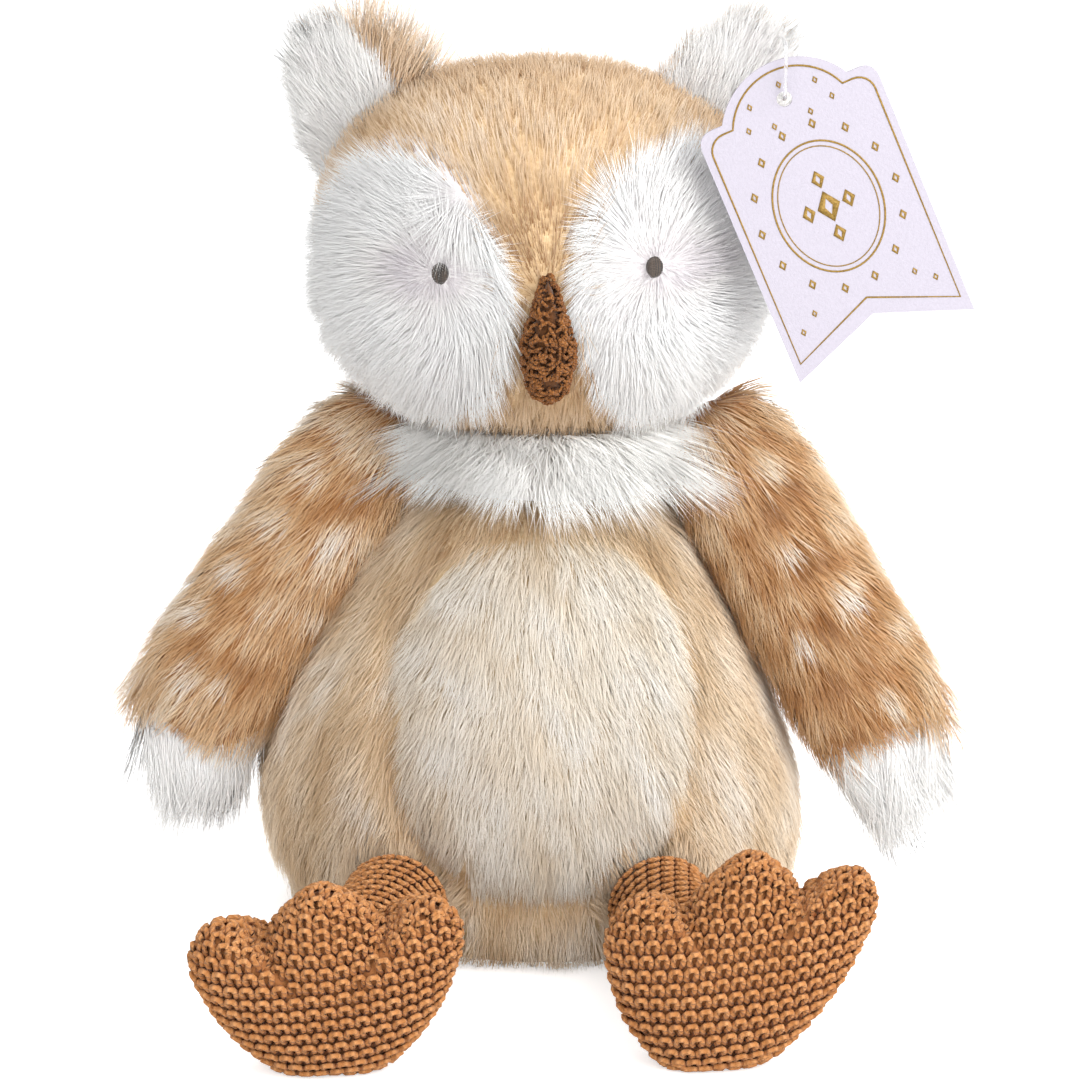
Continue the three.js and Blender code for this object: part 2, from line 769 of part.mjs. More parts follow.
function makeLeg(name, plan) {
  const [pivot, axis] = [legPivot(plan), rightward.clone().negate()];
  const pastBody = sweptPast(bodyForm(seamGap), pivot, axis, 0, legLiftLimit);
  const hip = plushThickness;
  const floor = above(0);
  const foot = solid(footForm(plan, 0)).intersect(floor).subtract(pastBody);
  const footHollow = solid(footForm(plan, -knitThickness)).intersect(above(knitThickness));
  const bore = solid(legForm(plan, -knitThickness, hip));
  const fill = 1 - 2 * seamGap / (footThickness - 2 * knitThickness);
  const tube = solid(legForm(plan, 0, hip)).subtract(pastBody);
  return {
    [`${name}_leg_cover`]: tube.subtract(bore).subtract(solid(footForm(plan, seamGap))),
    [`${name}_leg_stuffing`]: solid(legForm(plan, -knitThickness - seamGap, hip))
      .subtract(pastBody)
      .subtract(solid(footForm(plan, seamGap))),
    [`${name}_foot_cover`]: foot.subtract(footHollow).subtract(bore),
    [`${name}_foot_stuffing`]: solid(footForm(plan, -knitThickness, fill))
      .intersect(above(knitThickness + seamGap)),
  };
}

// Hang tag: a card with a domed top and a swallow-tail foot, its origin at its hole
const tagHole = new THREE.Vector3(tagHoleX, tagHoleY, tagHoleHeight);

function makeHangTag() {
  const [half, dome] = [tagWidth / 2, tagDomeWidth / 2];
  const domeRadius = (dome ** 2 + tagDomeRise ** 2) / (2 * tagDomeRise);
  const halfArc = Math.asin(dome / domeRadius);
  const card = new THREE.Shape();
  const level = half - tagShoulderRound;
  card.moveTo(-half, -tagShoulderRound);
  card.lineTo(-half, -tagSide);
  card.lineTo(0, tagNotch - tagSide);
  card.lineTo(half, -tagSide);
  card.lineTo(half, -tagShoulderRound);
  card.quadraticCurveTo(half, 0, level, 0);
  card.lineTo(dome, 0);
  card.absarc(0, tagDomeRise - domeRadius, domeRadius, Math.PI / 2 - halfArc, Math.PI / 2 + halfArc, false);
  card.lineTo(-level, 0);
  card.quadraticCurveTo(-half, 0, -half, -tagShoulderRound);
  card.closePath();
  const hole = new THREE.Path();
  hole.absarc(0, 0, tagHoleDiameter / 2, 0, 2 * Math.PI, true);
  card.holes.push(hole);
  const plate = new THREE.ExtrudeGeometry(card, {
    depth: tagThickness,
    bevelEnabled: false,
    curveSegments: domeSegments,
  });
  plate.translate(0, 0, -tagThickness / 2).rotateX(Math.PI / 2);
  plate.rotateY(THREE.MathUtils.degToRad(-tagTurn)).translate(tagHole.x, tagHole.y, tagHole.z);
  return solid(plate);
}

// The loop: through the hole, round in front of the card and back over its edge to the ear
function loopForm(grow) {
  const root = new THREE.Vector3(tagHoleX, loopRootY, tagHoleHeight + loopRootRise);
  const bow = [
    root,
    new THREE.Vector3(tagHoleX, (tagHoleY + loopRootY) / 2, tagHoleHeight + loopWire),
    tagHole,
    new THREE.Vector3(tagHoleX, tagHoleY - loopFront, tagHoleHeight + loopRise / 3),
    new THREE.Vector3(tagHoleX, tagHoleY - loopFront / 2, tagHoleHeight + loopRise),
    new THREE.Vector3(tagHoleX, (tagHoleY + loopRootY) / 2, tagHoleHeight + loopRise),
  ];
  const curve = new THREE.CatmullRomCurve3(bow, true, 'centripetal');
  return closedTube(curve, loopWire / 2 + grow, loopSteps, loopSides);
}

// Colours as they look in plain light
const finishes = {
  tanPlush: { color: 0xd8bd97, roughness: 0.95 },
  creamPlush: { color: 0xefe6d8, roughness: 0.95 },
  whitePlush: { color: 0xf7f5f2, roughness: 0.95 },
  brownPlush: { color: 0xb27c4a, roughness: 0.95 },
  crochet: { color: 0xb87c4c, roughness: 0.9 },
  boucle: { color: 0x8a5734, roughness: 1 },
  eyeThread: { color: 0x4a4038, roughness: 0.6 },
  seatCloth: { color: 0xcbb18c, roughness: 0.95 },
  fibre: { color: 0xf4f4f4, roughness: 1 },
  pouchCloth: { color: 0xe6e0d4, roughness: 0.95 },
  card: { color: 0xebe5f1, roughness: 0.75 },
  clearPlastic: { color: 0xf2f2f4, roughness: 0.25 },
};

const owl = new THREE.Group();

function addPiece(name, manifold, finish) {
  const material = new THREE.MeshStandardMaterial({ ...finishes[finish], metalness: 0 });
  const mesh = new THREE.Mesh(geometryOf(manifold), material);
  mesh.name = name;
  owl.add(mesh);
}

function addPieces(pieces, finishOf) {
  Object.entries(pieces).forEach(([name, manifold]) => {
    const ending = Object.keys(finishOf).find((part) => name.endsWith(part));
    addPiece(name, manifold, finishOf[ending]);
  });
}

addPiece('body_skin', makeBodySkin(), 'tanPlush');
addPiece('tummy_panel', makeTummyPanel(), 'creamPlush');
addPiece('base_panel', makeBasePanel(), 'seatCloth');
addPiece('body_stuffing', makeBodyStuffing(), 'fibre');
addPiece('pellet_pouch', makePelletPouch(), 'pouchCloth');
addPiece('neck_ruff', makeNeckRuff(), 'whitePlush');

addPiece('head_skin', makeHeadSkin(), 'tanPlush');
addPiece('left_face_disc', makeFaceDisc(-1, leftEyeX, leftEyeHeight), 'whitePlush');
addPiece('right_face_disc', makeFaceDisc(1, rightEyeX, rightEyeHeight), 'whitePlush');
addPiece('left_eye', makeEye(leftEyeX, leftEyeHeight), 'eyeThread');
addPiece('right_eye', makeEye(rightEyeX, rightEyeHeight), 'eyeThread');
addPiece('beak', makeBeak(), 'boucle');
addPiece('head_stuffing', makeHeadStuffing(), 'fibre');

addPiece('left_ear_front', makeEarHalf(-1, true), 'whitePlush');
addPiece('left_ear_back', makeEarHalf(-1, false), 'tanPlush');
addPiece('right_ear_front', makeEarHalf(1, true).subtract(solid(loopForm(seamGap))), 'whitePlush');
addPiece('right_ear_back', makeEarHalf(1, false), 'tanPlush');
addPiece('hang_tag', makeHangTag(), 'card');
addPiece('tag_loop', solid(loopForm(0)), 'clearPlastic');

const wingFinish = { front: 'brownPlush', back: 'brownPlush', stuffing: 'fibre', tip: 'whitePlush' };
Object.entries(wingPlans).forEach(([name, plan]) => addPieces(makeWing(name, plan), wingFinish));

const legFinish = { cover: 'crochet', stuffing: 'fibre' };
Object.entries(footPlans).forEach(([name, plan]) => addPieces(makeLeg(name, plan), legFinish));

export default owl;
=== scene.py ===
import itertools
import math

import bpy
import numpy as np
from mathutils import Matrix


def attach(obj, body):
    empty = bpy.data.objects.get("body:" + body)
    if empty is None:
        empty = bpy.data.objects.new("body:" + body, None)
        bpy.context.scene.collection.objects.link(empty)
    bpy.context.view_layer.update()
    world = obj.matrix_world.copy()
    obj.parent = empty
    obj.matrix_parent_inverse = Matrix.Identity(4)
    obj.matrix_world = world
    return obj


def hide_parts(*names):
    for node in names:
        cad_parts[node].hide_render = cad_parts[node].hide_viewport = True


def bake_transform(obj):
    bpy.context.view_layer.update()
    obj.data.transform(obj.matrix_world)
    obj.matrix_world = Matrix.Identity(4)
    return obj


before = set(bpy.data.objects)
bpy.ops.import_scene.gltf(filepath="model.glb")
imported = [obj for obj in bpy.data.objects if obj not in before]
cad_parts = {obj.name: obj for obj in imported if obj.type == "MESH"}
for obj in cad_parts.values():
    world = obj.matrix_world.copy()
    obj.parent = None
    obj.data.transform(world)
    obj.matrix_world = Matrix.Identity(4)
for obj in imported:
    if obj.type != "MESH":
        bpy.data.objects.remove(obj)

bl_info = {
    "name": "Plush Owl",
    "version": (1, 0, 0),
    "blender": (4, 5, 0),
    "location": "3D View > Sidebar > Owl",
    "description": "Dresses a sitting plush owl with pile, crochet, beak, eyes and tag",
    "category": "Object",
}

# Shapes are worked out in millimetres and set down in metres
MM = 0.001
TINY = 1e-9
ACROSS, BACK, UP = np.eye(3)
UV_MARGIN = 0.02
UV_SPAN = 0.96

# Body
BODY_HEIGHT = 132.0
BODY_WIDTH = 156.0
BODY_DEPTH = 131.0
BODY_LEAN = -5.0
BODY_STATIONS = np.array([
    [0.0, 0.77, 0.87],
    [0.03, 0.88, 0.93],
    [0.12, 0.97, 0.98],
    [0.27, 1.0, 1.0],
    [0.45, 0.93, 0.94],
    [0.62, 0.8, 0.82],
    [0.76, 0.665, 0.69],
    [0.88, 0.52, 0.57],
    [0.96, 0.38, 0.43],
    [1.0, 0.18, 0.22],
])
TUMMY_CENTRE = (0.8, 70.0)
TUMMY_HALF = (40.0, 48.0)
TUMMY_POWER = 2.4
TUMMY_CROWN = 2.5
TUMMY_SEAM_DEPTH = 2.5
TUMMY_SEAM_WIDTH = 0.13
TUMMY_FADE = 20.0
# The back panel starts at this y; tones change over these ranges of height and of x: painted shade along the
# tummy's upper seam, painted light over the upper body and painted light on the right side
BACK_PANEL = 12.0
LOW_BODY = (30.0, 75.0)
HIGH_BODY = (40.0, 100.0)
BODY_PAINTED_LIGHT = (15.0, 60.0)
SEAT_HALF = (53.8, 50.7)
SEAT_THICKNESS = 1.0

# Neck: an oval cone, and where its collar is denser
NECK_RADIUS = 31.0
NECK_TAPER = 9.0
NECK_PLAN_SHARES = (1.1, 0.95)
NECK_BOTTOM = 121.0
NECK_HEIGHT = 25.0
COLLAR_FRONT = 5.0

# Head
HEAD_SIZE = (129.0, 108.0, 107.0)
HEAD_CENTRE = np.array([0.0, -4.0, 189.5])
HEAD_PROFILE_POWER = 2.3
HEAD_PLAN_POWER = 2.1
DISC_HALF = (30.5, 45.0)
DISC_CENTRE = (35.5, 187.0)
DISC_TILT = 12.0
DISC_ROOTS = 0.8
LEFT_EYE = (-27.0, 189.5)
RIGHT_EYE = (30.0, 191.0)
LEFT_PARTING = (-13.0, 190.0)
RIGHT_PARTING = (20.0, 183.0)
EYE_SINK = 3.0
EYE_GAP = 4.5
EYE_DIAMETER = 5.4
EYE_THICKNESS = 1.6
EYE_THREAD = 0.3
EYE_WAVER = 0.06
EYE_PAD_DEPTH = 1.2
BEAK_TOP = 189.0
BEAK_LENGTH = 33.0
BEAK_WIDTH = 13.0
BEAK_PROUD = 7.0
BEAK_CENTRE = 1.6
BEAK_PROFILE = np.array([
    [0.0, 0.0], [0.06, 0.16], [0.25, 0.48], [0.45, 0.86], [0.6, 1.0], [0.78, 0.84], [0.94, 0.5], [1.0, 0.0],
])
BEAK_CORE_DEPTH = 1.0
BEAK_CURL_DEPTH = 0.7
BEAK_CURL_FRONT = -46.0
BEAK_YARN = 0.46
# The forehead's pile ends at the nape's y, and the chin starts below its height
NAPE = 8.0
CHIN = 184.0
HEAD_BEHIND = (-4.0, 25.0)
FOREHEAD_PARTING = 181.0
FOREHEAD_SPREAD = 26.0
CHIN_DROP = 30.0
NAPE_DROP = 45.0
BEAK_PARTING_RISE = 4.0
BEAK_SHADE = (4.0, 14.0)
CHIN_SHADE = (165.0, 190.0)
CHEEK_SHADE = (195.0, 215.0)
LEFT_PAINTED_LIGHT = (5.0, 45.0)
BEAK_TOP_PILE = 185.5
BEAK_TOP_BAND = 6.0
# Face discs: how their pile turns, shortens and darkens with painted shade round the eye's hollow, in
# distances from the eye or from the parting
DISC_CORNER = (6.0, 32.0)
DISC_BACKWARD = 9.0
DISC_RISE = 5.0
EYE_FAN = (9.0, 18.0)
EYE_SHORT = (4.0, 17.0)
DISC_BROW = (202.0, 216.0)
DISC_INNER = (-6.0, 6.0)
HOLLOW_ASIDE = 3.0
HOLLOW_SHADE = (3.0, 9.0)

# Ears
EAR_SIZE = (48.0, 13.0, 72.0)
EAR_CENTRE = (45.5, 3.0, 219.0)
EAR_BACKING_DEPTH = 7.0
EAR_LEAN = 27.0
EAR_YAW = 18.0
EAR_TUFT_LEAN = 24.0

# Wings
WING_LENGTH = 104.0
WING_WIDTH = 42.0
WING_THICKNESS = 27.0
WING_SHOULDER_HEIGHT = 137.0
WING_FORWARD = 3.0
WING_SWEEP = 5.0
WING_YAW = 14.0
WING_TIP_ANGLE = 9.0
WING_STATIONS = np.array([
    [0.0, 0.0, 0.0],
    [0.02, 0.42, 0.3],
    [0.08, 0.75, 0.58],
    [0.2, 0.93, 0.85],
    [0.4, 0.98, 1.0],
    [0.65, 1.0, 0.98],
    [0.85, 1.0, 0.86],
    [0.94, 0.88, 0.66],
    [0.985, 0.62, 0.36],
    [1.0, 0.0, 0.0],
])
# The wings' backing lies nearer to the outer form and reaches up under the collar
WING_BACKING_DEPTH = 1.5
WING_REACH_UP = 11.0
WING_BEND = 16.0
WING_SPOT_DROP = 4.0
WINGS = {
    "left": {
        "side": -1.0,
        "shoulder": -45.0,
        "angle": 34.0,
        "painted_light": 0.16,
        "tip_lean": 0.1,
        "tip_width": 0.94,
        "tip_taper": 0.22,
        "tip_reach": 1.1,
        "tip_edge": 1.0,
        "corner": 0.6,
        "spots": [
            (-62.6, 127.5, 6.0), (-72.5, 114.2, 5.5), (-84.6, 100.5, 5.5), (-94.3, 89.9, 4.5),
            (-54.6, 108.5, 9.0), (-96.9, 72.5, 5.5), (-88.6, 69.6, 4.0), (-107.0, 58.8, 5.0),
        ],
    },
    "right": {
        "side": 1.0,
        "shoulder": 49.0,
        "angle": 29.5,
        "painted_light": 0.02,
        "tip_lean": 1.2,
        "tip_width": 1.0,
        "tip_taper": 0.45,
        "tip_reach": 1.1,
        "tip_edge": 0.85,
        "corner": 0.6,
        "spots": [
            (60.6, 129.0, 6.5), (67.3, 107.1, 4.5), (83.4, 94.2, 6.5), (71.9, 82.1, 4.5),
            (96.0, 65.2, 5.0),
        ],
    },
}

# Legs and feet
LEG_DIAMETER = 27.0
ANKLE_DIAMETER = 24.0
LEG_HEIGHT = 19.5
LEG_GAUGE = 0.95
YARN_SIDES = 5
LEG_BEND = 20.0
LEG_START = 1.5
GROUND_DEPTH = 1.0
TOE_MARGIN = 2.0
HEEL_REACH = 6.0
FOOT_SLOPE_STEP = 0.4
ROUND_STEP = 0.8
FOOT_SIZE = (66.0, 25.0, 55.0)
FOOT_MIDDLE = 0.45
FOOT_RIM_POWER = 0.75
FOOT_TOE_THINNING = 0.3
HEEL_Y = -120.0
HEEL_FLAT = 0.5
HEEL_GROUND = 1.5
FOOT_OUTLINE = np.array([
    [0.0, 0.0], [0.2, 0.04], [0.38, 0.28], [0.48, 0.55], [0.5, 0.72], [0.43, 0.85], [0.33, 0.84],
    [0.23, 0.76], [0.15, 0.88], [0.0, 1.0],
])
LEGS = {
    "left": {"foot": -51.0, "turn": 7.0, "tip": 18.0, "skew": 0.06, "hip": -38.5},
    "right": {"foot": 45.0, "turn": 8.0, "tip": 3.0, "skew": 0.26, "hip": 31.0},
}
# One stitch: places along its arch across the row, up the row and out of the surface, as shares of the gauge
STITCH = np.array([
    [-0.17, -0.66, -0.9], [-0.30, -0.34, 0.2], [-0.34, 0.02, 0.9], [-0.20, 0.3, 1.3],
    [0.20, 0.3, 1.3], [0.34, 0.02, 0.9], [0.30, -0.34, 0.2], [0.17, -0.66, -0.9],
])
# Heights of the rows of stitches up a foot
FOOT_ROWS = (1.2, 3.0, 5.6, 8.8, 12.4, 16.1, 19.8, 23.5, 27.2, 30.9, 34.6, 38.2, 41.6, 44.8, 47.8, 50.6, 53.0)

# Hang tag
TAG_WIDTH = 49.0
TAG_SIDE = 70.0
TAG_DOME_WIDTH = 34.5
TAG_DOME_RISE = 10.0
TAG_NOTCH = 9.5
TAG_SHOULDER_ROUND = 4.5
TAG_THICKNESS = 1.2
TAG_HOLE = np.array([62.0, -49.0, 234.2])
TAG_TURN = 23.5
LOOP_WIRE = 1.0
LOOP_RISE = 13.5
LOOP_FRONT = 3.0
LOOP_ROOT_Y = 4.0
LOOP_ROOT_RISE = 5.0

# Print on the tag: how far it sinks in and stands out, its ovals' half sizes, and its lozenges
PRINT_SUNK = 0.05
PRINT_PROUD = 0.1
TAG_MIDDLE = -30.0
TAG_OVAL = (14.0, 17.5)
TAG_INNER_OVAL = (12.6, 16.1)
TAG_MARK_RING = (18.6, 22.0)
TAG_RING_MARKS = 14
TAG_RING_MARK = 0.9
TAG_EDGE_MARK = 0.65
TAG_EDGE_MARKS = (
    (-9.0, 1.5), (-11.5, -4.0), (9.0, 1.5), (11.5, -4.0), (-5.0, -5.5), (5.0, -5.5), (0.0, 4.0),
    (-18.5, -58.0), (18.5, -58.0), (-14.0, -54.5), (14.0, -54.5),
)
TAG_MIDDLE_MARKS = [
    (0.0, -30.0, 2.6), (0.0, -22.5, 1.5), (0.0, -37.5, 1.5), (-5.5, -30.0, 1.5), (5.5, -30.0, 1.5),
]
TAG_LOZENGE = np.array([[0, 1.25], [0.8, 0], [0, -1.25], [-0.8, 0]])

# Stage, in metres and degrees: the camera, each lamp's place, size and power, and the floor's half side in mm
CAMERA_PITCH = 12.0
CAMERA_RISE = 0.14
CAMERA_AIM = np.array([-0.0005, 0.0, 0.1055])
CAMERA_LENS = 108.0
CAMERA_SENSOR = 36.0
LAMP_AIM = np.array([0.0, 0.0, 0.12])
LAMPS = (
    ("Key", (0.9, -0.9, 0.8), 1.4, 24.5),
    ("Fill", (-0.5, -1.25, 0.25), 1.5, 9.0),
    ("Top", (0.0, 0.35, 1.3), 1.0, 6.0),
)
FLOOR_REACH = 6000.0

# Longer fur hangs over each leg from a ring of this radius and width round the hip
BROW_REACH = 17.0
BROW_WIDTH = 2.5
BROW_LOWEST = -3.0

# Backing cloth stands this far inside the part's outer form, and pile stays this far off the floor
BACKING_DEPTH = 4.0
FLOOR_GAP = 0.3

# Sizes of the pile's locks and of the patches of tone that run through it
LOCK = 7.0
SMALL_LOCK = 6.0
COLLAR_LOCK = 8.5
TIP_LOCK = 9.0
BODY_PATCHES = (17.0, 6.0)
TUMMY_PATCH = 14.0
COLLAR_PATCH = 9.0
HEAD_PATCHES = (15.0, 5.0)
DISC_PATCH = 12.0
EAR_PATCH = 10.0
WING_PATCHES = (15.0, 5.0)
TIP_PATCH = 9.0

# Patches on the body are drawn out downward by these shares of a place
DOWNWARD_SHARES = np.array([1.0, 1.0, 0.4])

# A reach or a distance that counts as outside everything, and a small step for slopes
FAR = 10.0
SLOPE_STEP = 0.5


def tint(code):
    """A colour written as #rrggbb, as the linear numbers that shaders use."""
    parts = [int(code[at:at + 2], 16) / 255 for at in (1, 3, 5)]
    return tuple(c / 12.92 if c <= 0.04045 else ((c + 0.055) / 1.055) ** 2.4 for c in parts)


def unit(vectors):
    """Each vector divided by its length."""
    return vectors / np.maximum(np.linalg.norm(vectors, axis=-1, keepdims=True), TINY)


def dot(a, b):
    """Sum of products along the last axis, kept as a column."""
    return (a * b).sum(-1, keepdims=True)


def ease(values, low, high):
    """0 below low, 1 above high, and 3t^2 - 2t^3 between."""
    t = np.clip((values - low) / (high - low), 0.0, 1.0)
    return t * t * (3.0 - 2.0 * t)


def fade(values, low, high):
    """1 below low, 0 above high, and smooth between."""
    return ease(-values, -high, -low)


def smooth_curve(at, places, values):
    """A cubic through the values, with the slope of their neighbours at each one."""
    slopes = np.gradient(values, places)
    spot = np.clip(np.searchsorted(places, at) - 1, 0, len(places) - 2)
    step = places[spot + 1] - places[spot]
    t = (at - places[spot]) / step
    return (
        (2 * t ** 3 - 3 * t ** 2 + 1) * values[spot]
        + (t ** 3 - 2 * t ** 2 + t) * step * slopes[spot]
        + (3 * t ** 2 - 2 * t ** 3) * values[spot + 1]
        + (t ** 3 - t ** 2) * step * slopes[spot + 1]
    )


def closed_curve(corners, count):
    """Points of a smooth closed curve through the corners, cubic from each corner to the next."""
    t = np.linspace(0, len(corners), count, endpoint=False)
    spot, part = np.floor(t).astype(int), (t % 1.0)[:, None]
    p = [corners[(spot + step) % len(corners)] for step in (-1, 0, 1, 2)]
    return 0.5 * (
        2 * p[1] + (p[2] - p[0]) * part + (2 * p[0] - 5 * p[1] + 4 * p[2] - p[3]) * part ** 2
        + (3 * p[1] - p[0] - 3 * p[2] + p[3]) * part ** 3
    )


def turned(points, axis, degrees):
    """Points turned about X, Y or Z by the right-hand rule."""
    angle = math.radians(degrees)
    a, b = {"X": (1, 2), "Y": (2, 0), "Z": (0, 1)}[axis]
    out = np.array(points, float)
    out[..., a] = points[..., a] * math.cos(angle) - points[..., b] * math.sin(angle)
    out[..., b] = points[..., a] * math.sin(angle) + points[..., b] * math.cos(angle)
    return out


def limb_place(local, origin, along, facing):
    """Local X across the limb, Y out of its back and Z along it, set down at its origin."""
    front = unit(facing - along * np.dot(facing, along))
    width = np.cross(along, front)
    return origin + local[..., :1] * width - local[..., 1:2] * front + local[..., 2:3] * along


def downward(side, angle, sweep):
    """The direction that leans out to a side and a little forward from straight down."""
    out, ahead = math.radians(angle), math.radians(sweep)
    return np.array([
        side * math.sin(out) * math.cos(ahead),
        -math.sin(ahead),
        -math.cos(out) * math.cos(ahead),
    ])


# Forms: functions of u round the piece and v along it, both from 0 to 1


def body_form(u, v, grow=0.0):
    """Ovals up the body, on the stations' widths and depths, with a crowned tummy in a sunk seam."""
    angle = 2 * np.pi * u
    half_width = smooth_curve(v, BODY_STATIONS[:, 0], BODY_STATIONS[:, 1]) * BODY_WIDTH / 2 + grow
    half_depth = smooth_curve(v, BODY_STATIONS[:, 0], BODY_STATIONS[:, 2]) * BODY_DEPTH / 2 + grow
    lean = BODY_LEAN * np.sin(np.pi * v)
    place = np.stack([
        half_width * np.cos(angle) + lean,
        half_depth * np.sin(angle),
        v * BODY_HEIGHT + grow * v ** 8,
    ], -1)
    reach = tummy_reach(place)
    front = ease(-place[..., 1], 0.0, TUMMY_FADE)
    crown = TUMMY_CROWN * np.clip(1 - reach ** 2, 0, 1)
    seam = TUMMY_SEAM_DEPTH * np.exp(-((reach - 1) / TUMMY_SEAM_WIDTH) ** 2)
    place[..., 1] -= front * (crown - seam)
    return place


def tummy_reach(place):
    """0 at the middle of the tummy panel and 1 on its seam."""
    across = (place[..., 0] - TUMMY_CENTRE[0]) / TUMMY_HALF[0]
    over = (place[..., 2] - TUMMY_CENTRE[1]) / TUMMY_HALF[1]
    return np.sqrt(np.abs(across) ** TUMMY_POWER + np.abs(over) ** TUMMY_POWER) ** (2 / TUMMY_POWER)


def body_backing(u, v):
    """The body's backing cloth, on which its pile stands."""
    return body_form(u, v, -BACKING_DEPTH)


def body_front(x, height):
    """How far forward the body stands at a place on its front."""
    share = height / BODY_HEIGHT
    places, widths, depths = BODY_STATIONS.T
    half_width = float(smooth_curve(np.array(share), places, widths)) * BODY_WIDTH / 2
    half_depth = float(smooth_curve(np.array(share), places, depths)) * BODY_DEPTH / 2
    lean = BODY_LEAN * math.sin(math.pi * share)
    return -half_depth * math.sqrt(1 - ((x - lean) / half_width) ** 2)


def head_form(u, v, grow=0.0):
    """Rounded ovals stacked on a rounded profile, each with its own power."""
    angle = 2 * np.pi * u
    level = -np.cos(np.pi * v)
    spread = (1 - np.abs(level) ** HEAD_PROFILE_POWER) ** (1 / HEAD_PROFILE_POWER)
    c, s = np.cos(angle), np.sin(angle)
    reach = (np.abs(c) ** HEAD_PLAN_POWER + np.abs(s) ** HEAD_PLAN_POWER) ** (-1 / HEAD_PLAN_POWER)
    return HEAD_CENTRE + np.stack([
        (HEAD_SIZE[0] / 2 + grow) * spread * reach * c,
        (HEAD_SIZE[1] / 2 + grow) * spread * reach * s,
        (HEAD_SIZE[2] / 2 + grow) * level,
    ], -1)


def head_backing(u, v):
    """The head's backing cloth, on which its pile stands."""
    return head_form(u, v, -BACKING_DEPTH)


def head_front(x, height):
    """The place on the front of the head at x and height."""
    level = np.abs(height - HEAD_CENTRE[2]) / (HEAD_SIZE[2] / 2)
    spread = (1 - level ** HEAD_PROFILE_POWER) ** (1 / HEAD_PROFILE_POWER)
    aside = np.abs(x) / (HEAD_SIZE[0] / 2)
    front = np.maximum(spread ** HEAD_PLAN_POWER - aside ** HEAD_PLAN_POWER, 0) ** (1 / HEAD_PLAN_POWER)
    y = HEAD_CENTRE[1] - front * HEAD_SIZE[1] / 2
    return np.stack(np.broadcast_arrays(np.asarray(x, float), y, np.asarray(height, float)), -1)


def head_facing(x, height):
    """The direction in which the front of the head faces, from its slope across and up."""
    here = head_front(x, height)
    aside = head_front(x + SLOPE_STEP, height) - here
    return unit(np.cross(aside, head_front(x, height + SLOPE_STEP) - here))


def disc_reach(place, side):
    """0 at the middle of a face disc and 1 on its edge."""
    x = place[..., 0] - side * DISC_CENTRE[0]
    z = place[..., 2] - DISC_CENTRE[1]
    tilt = math.radians(side * DISC_TILT)
    across = (x * math.cos(tilt) - z * math.sin(tilt)) / DISC_HALF[0]
    over = (x * math.sin(tilt) + z * math.cos(tilt)) / DISC_HALF[1]
    return np.hypot(across, over) + FAR * (place[..., 1] > HEAD_CENTRE[1])


def disc_roots(place, side):
    """The disc's reach for its pile's roots, which keep clear of the edge above and outside the eye."""
    corner = 0.5 * (side * place[..., 0] - DISC_CENTRE[0]) + 0.85 * (place[..., 2] - DISC_CENTRE[1])
    return disc_reach(place, side) + 0.26 * ease(corner, *DISC_CORNER)


def ear_form(side, grow=0.0):
    """A flat ellipsoid, turned to face out and leant to its side."""
    def form(u, v):
        angle, tall = 2 * np.pi * u, np.pi * v
        local = np.stack([
            (EAR_SIZE[0] / 2 + grow) * np.sin(tall) * np.cos(angle),
            (EAR_SIZE[1] / 2 + grow / 3) * np.sin(tall) * np.sin(angle),
            -(EAR_SIZE[2] / 2 + grow) * np.cos(tall),
        ], -1)
        local = turned(turned(local, "Z", side * EAR_YAW), "Y", side * EAR_LEAN)
        return local + np.array([side * EAR_CENTRE[0], EAR_CENTRE[1], EAR_CENTRE[2]])
    return form


def ear_base(side):
    """The lower end of an ear."""
    foot = turned(np.array([0.0, 0.0, -EAR_SIZE[2] / 3]), "Y", side * EAR_LEAN)
    return foot + np.array([side * EAR_CENTRE[0], EAR_CENTRE[1], EAR_CENTRE[2]])


def wing_axis(plan):
    """Shoulder, direction and facing of a wing."""
    yaw = math.radians(WING_YAW)
    shoulder = np.array([plan["shoulder"], -WING_FORWARD, WING_SHOULDER_HEIGHT])
    facing = np.array([plan["side"] * math.sin(yaw), -math.cos(yaw), 0.0])
    return shoulder, downward(plan["side"], plan["angle"], WING_SWEEP), facing


def wing_form(plan, grow=0.0):
    """Ovals along the wing, whose widths and thicknesses follow the stations."""
    shoulder, along, facing = wing_axis(plan)
    length = WING_LENGTH + WING_REACH_UP
    start = shoulder - along * WING_REACH_UP

    def form(u, v):
        angle = 2 * np.pi * u
        width = np.maximum(smooth_curve(v, WING_STATIONS[:, 0], WING_STATIONS[:, 1]), 0)
        thickness = np.maximum(smooth_curve(v, WING_STATIONS[:, 0], WING_STATIONS[:, 2]), 0)
        local = np.stack([
            width * (WING_WIDTH / 2 + grow) * np.cos(angle),
            thickness * (WING_THICKNESS / 2 + grow) * np.sin(angle),
            length / 2 + (v - 0.5) * (length + 2 * grow),
        ], -1)
        return limb_place(local, start, along, facing)
    return form


def neck_form(u, v, grow=0.0):
    """A short oval cone from the shoulders up into the head."""
    angle = 2 * np.pi * u
    radius = NECK_RADIUS - NECK_TAPER * v + grow
    return np.stack([
        NECK_PLAN_SHARES[0] * radius * np.cos(angle),
        NECK_PLAN_SHARES[1] * radius * np.sin(angle),
        NECK_BOTTOM + NECK_HEIGHT * v,
    ], -1)


# Meshes


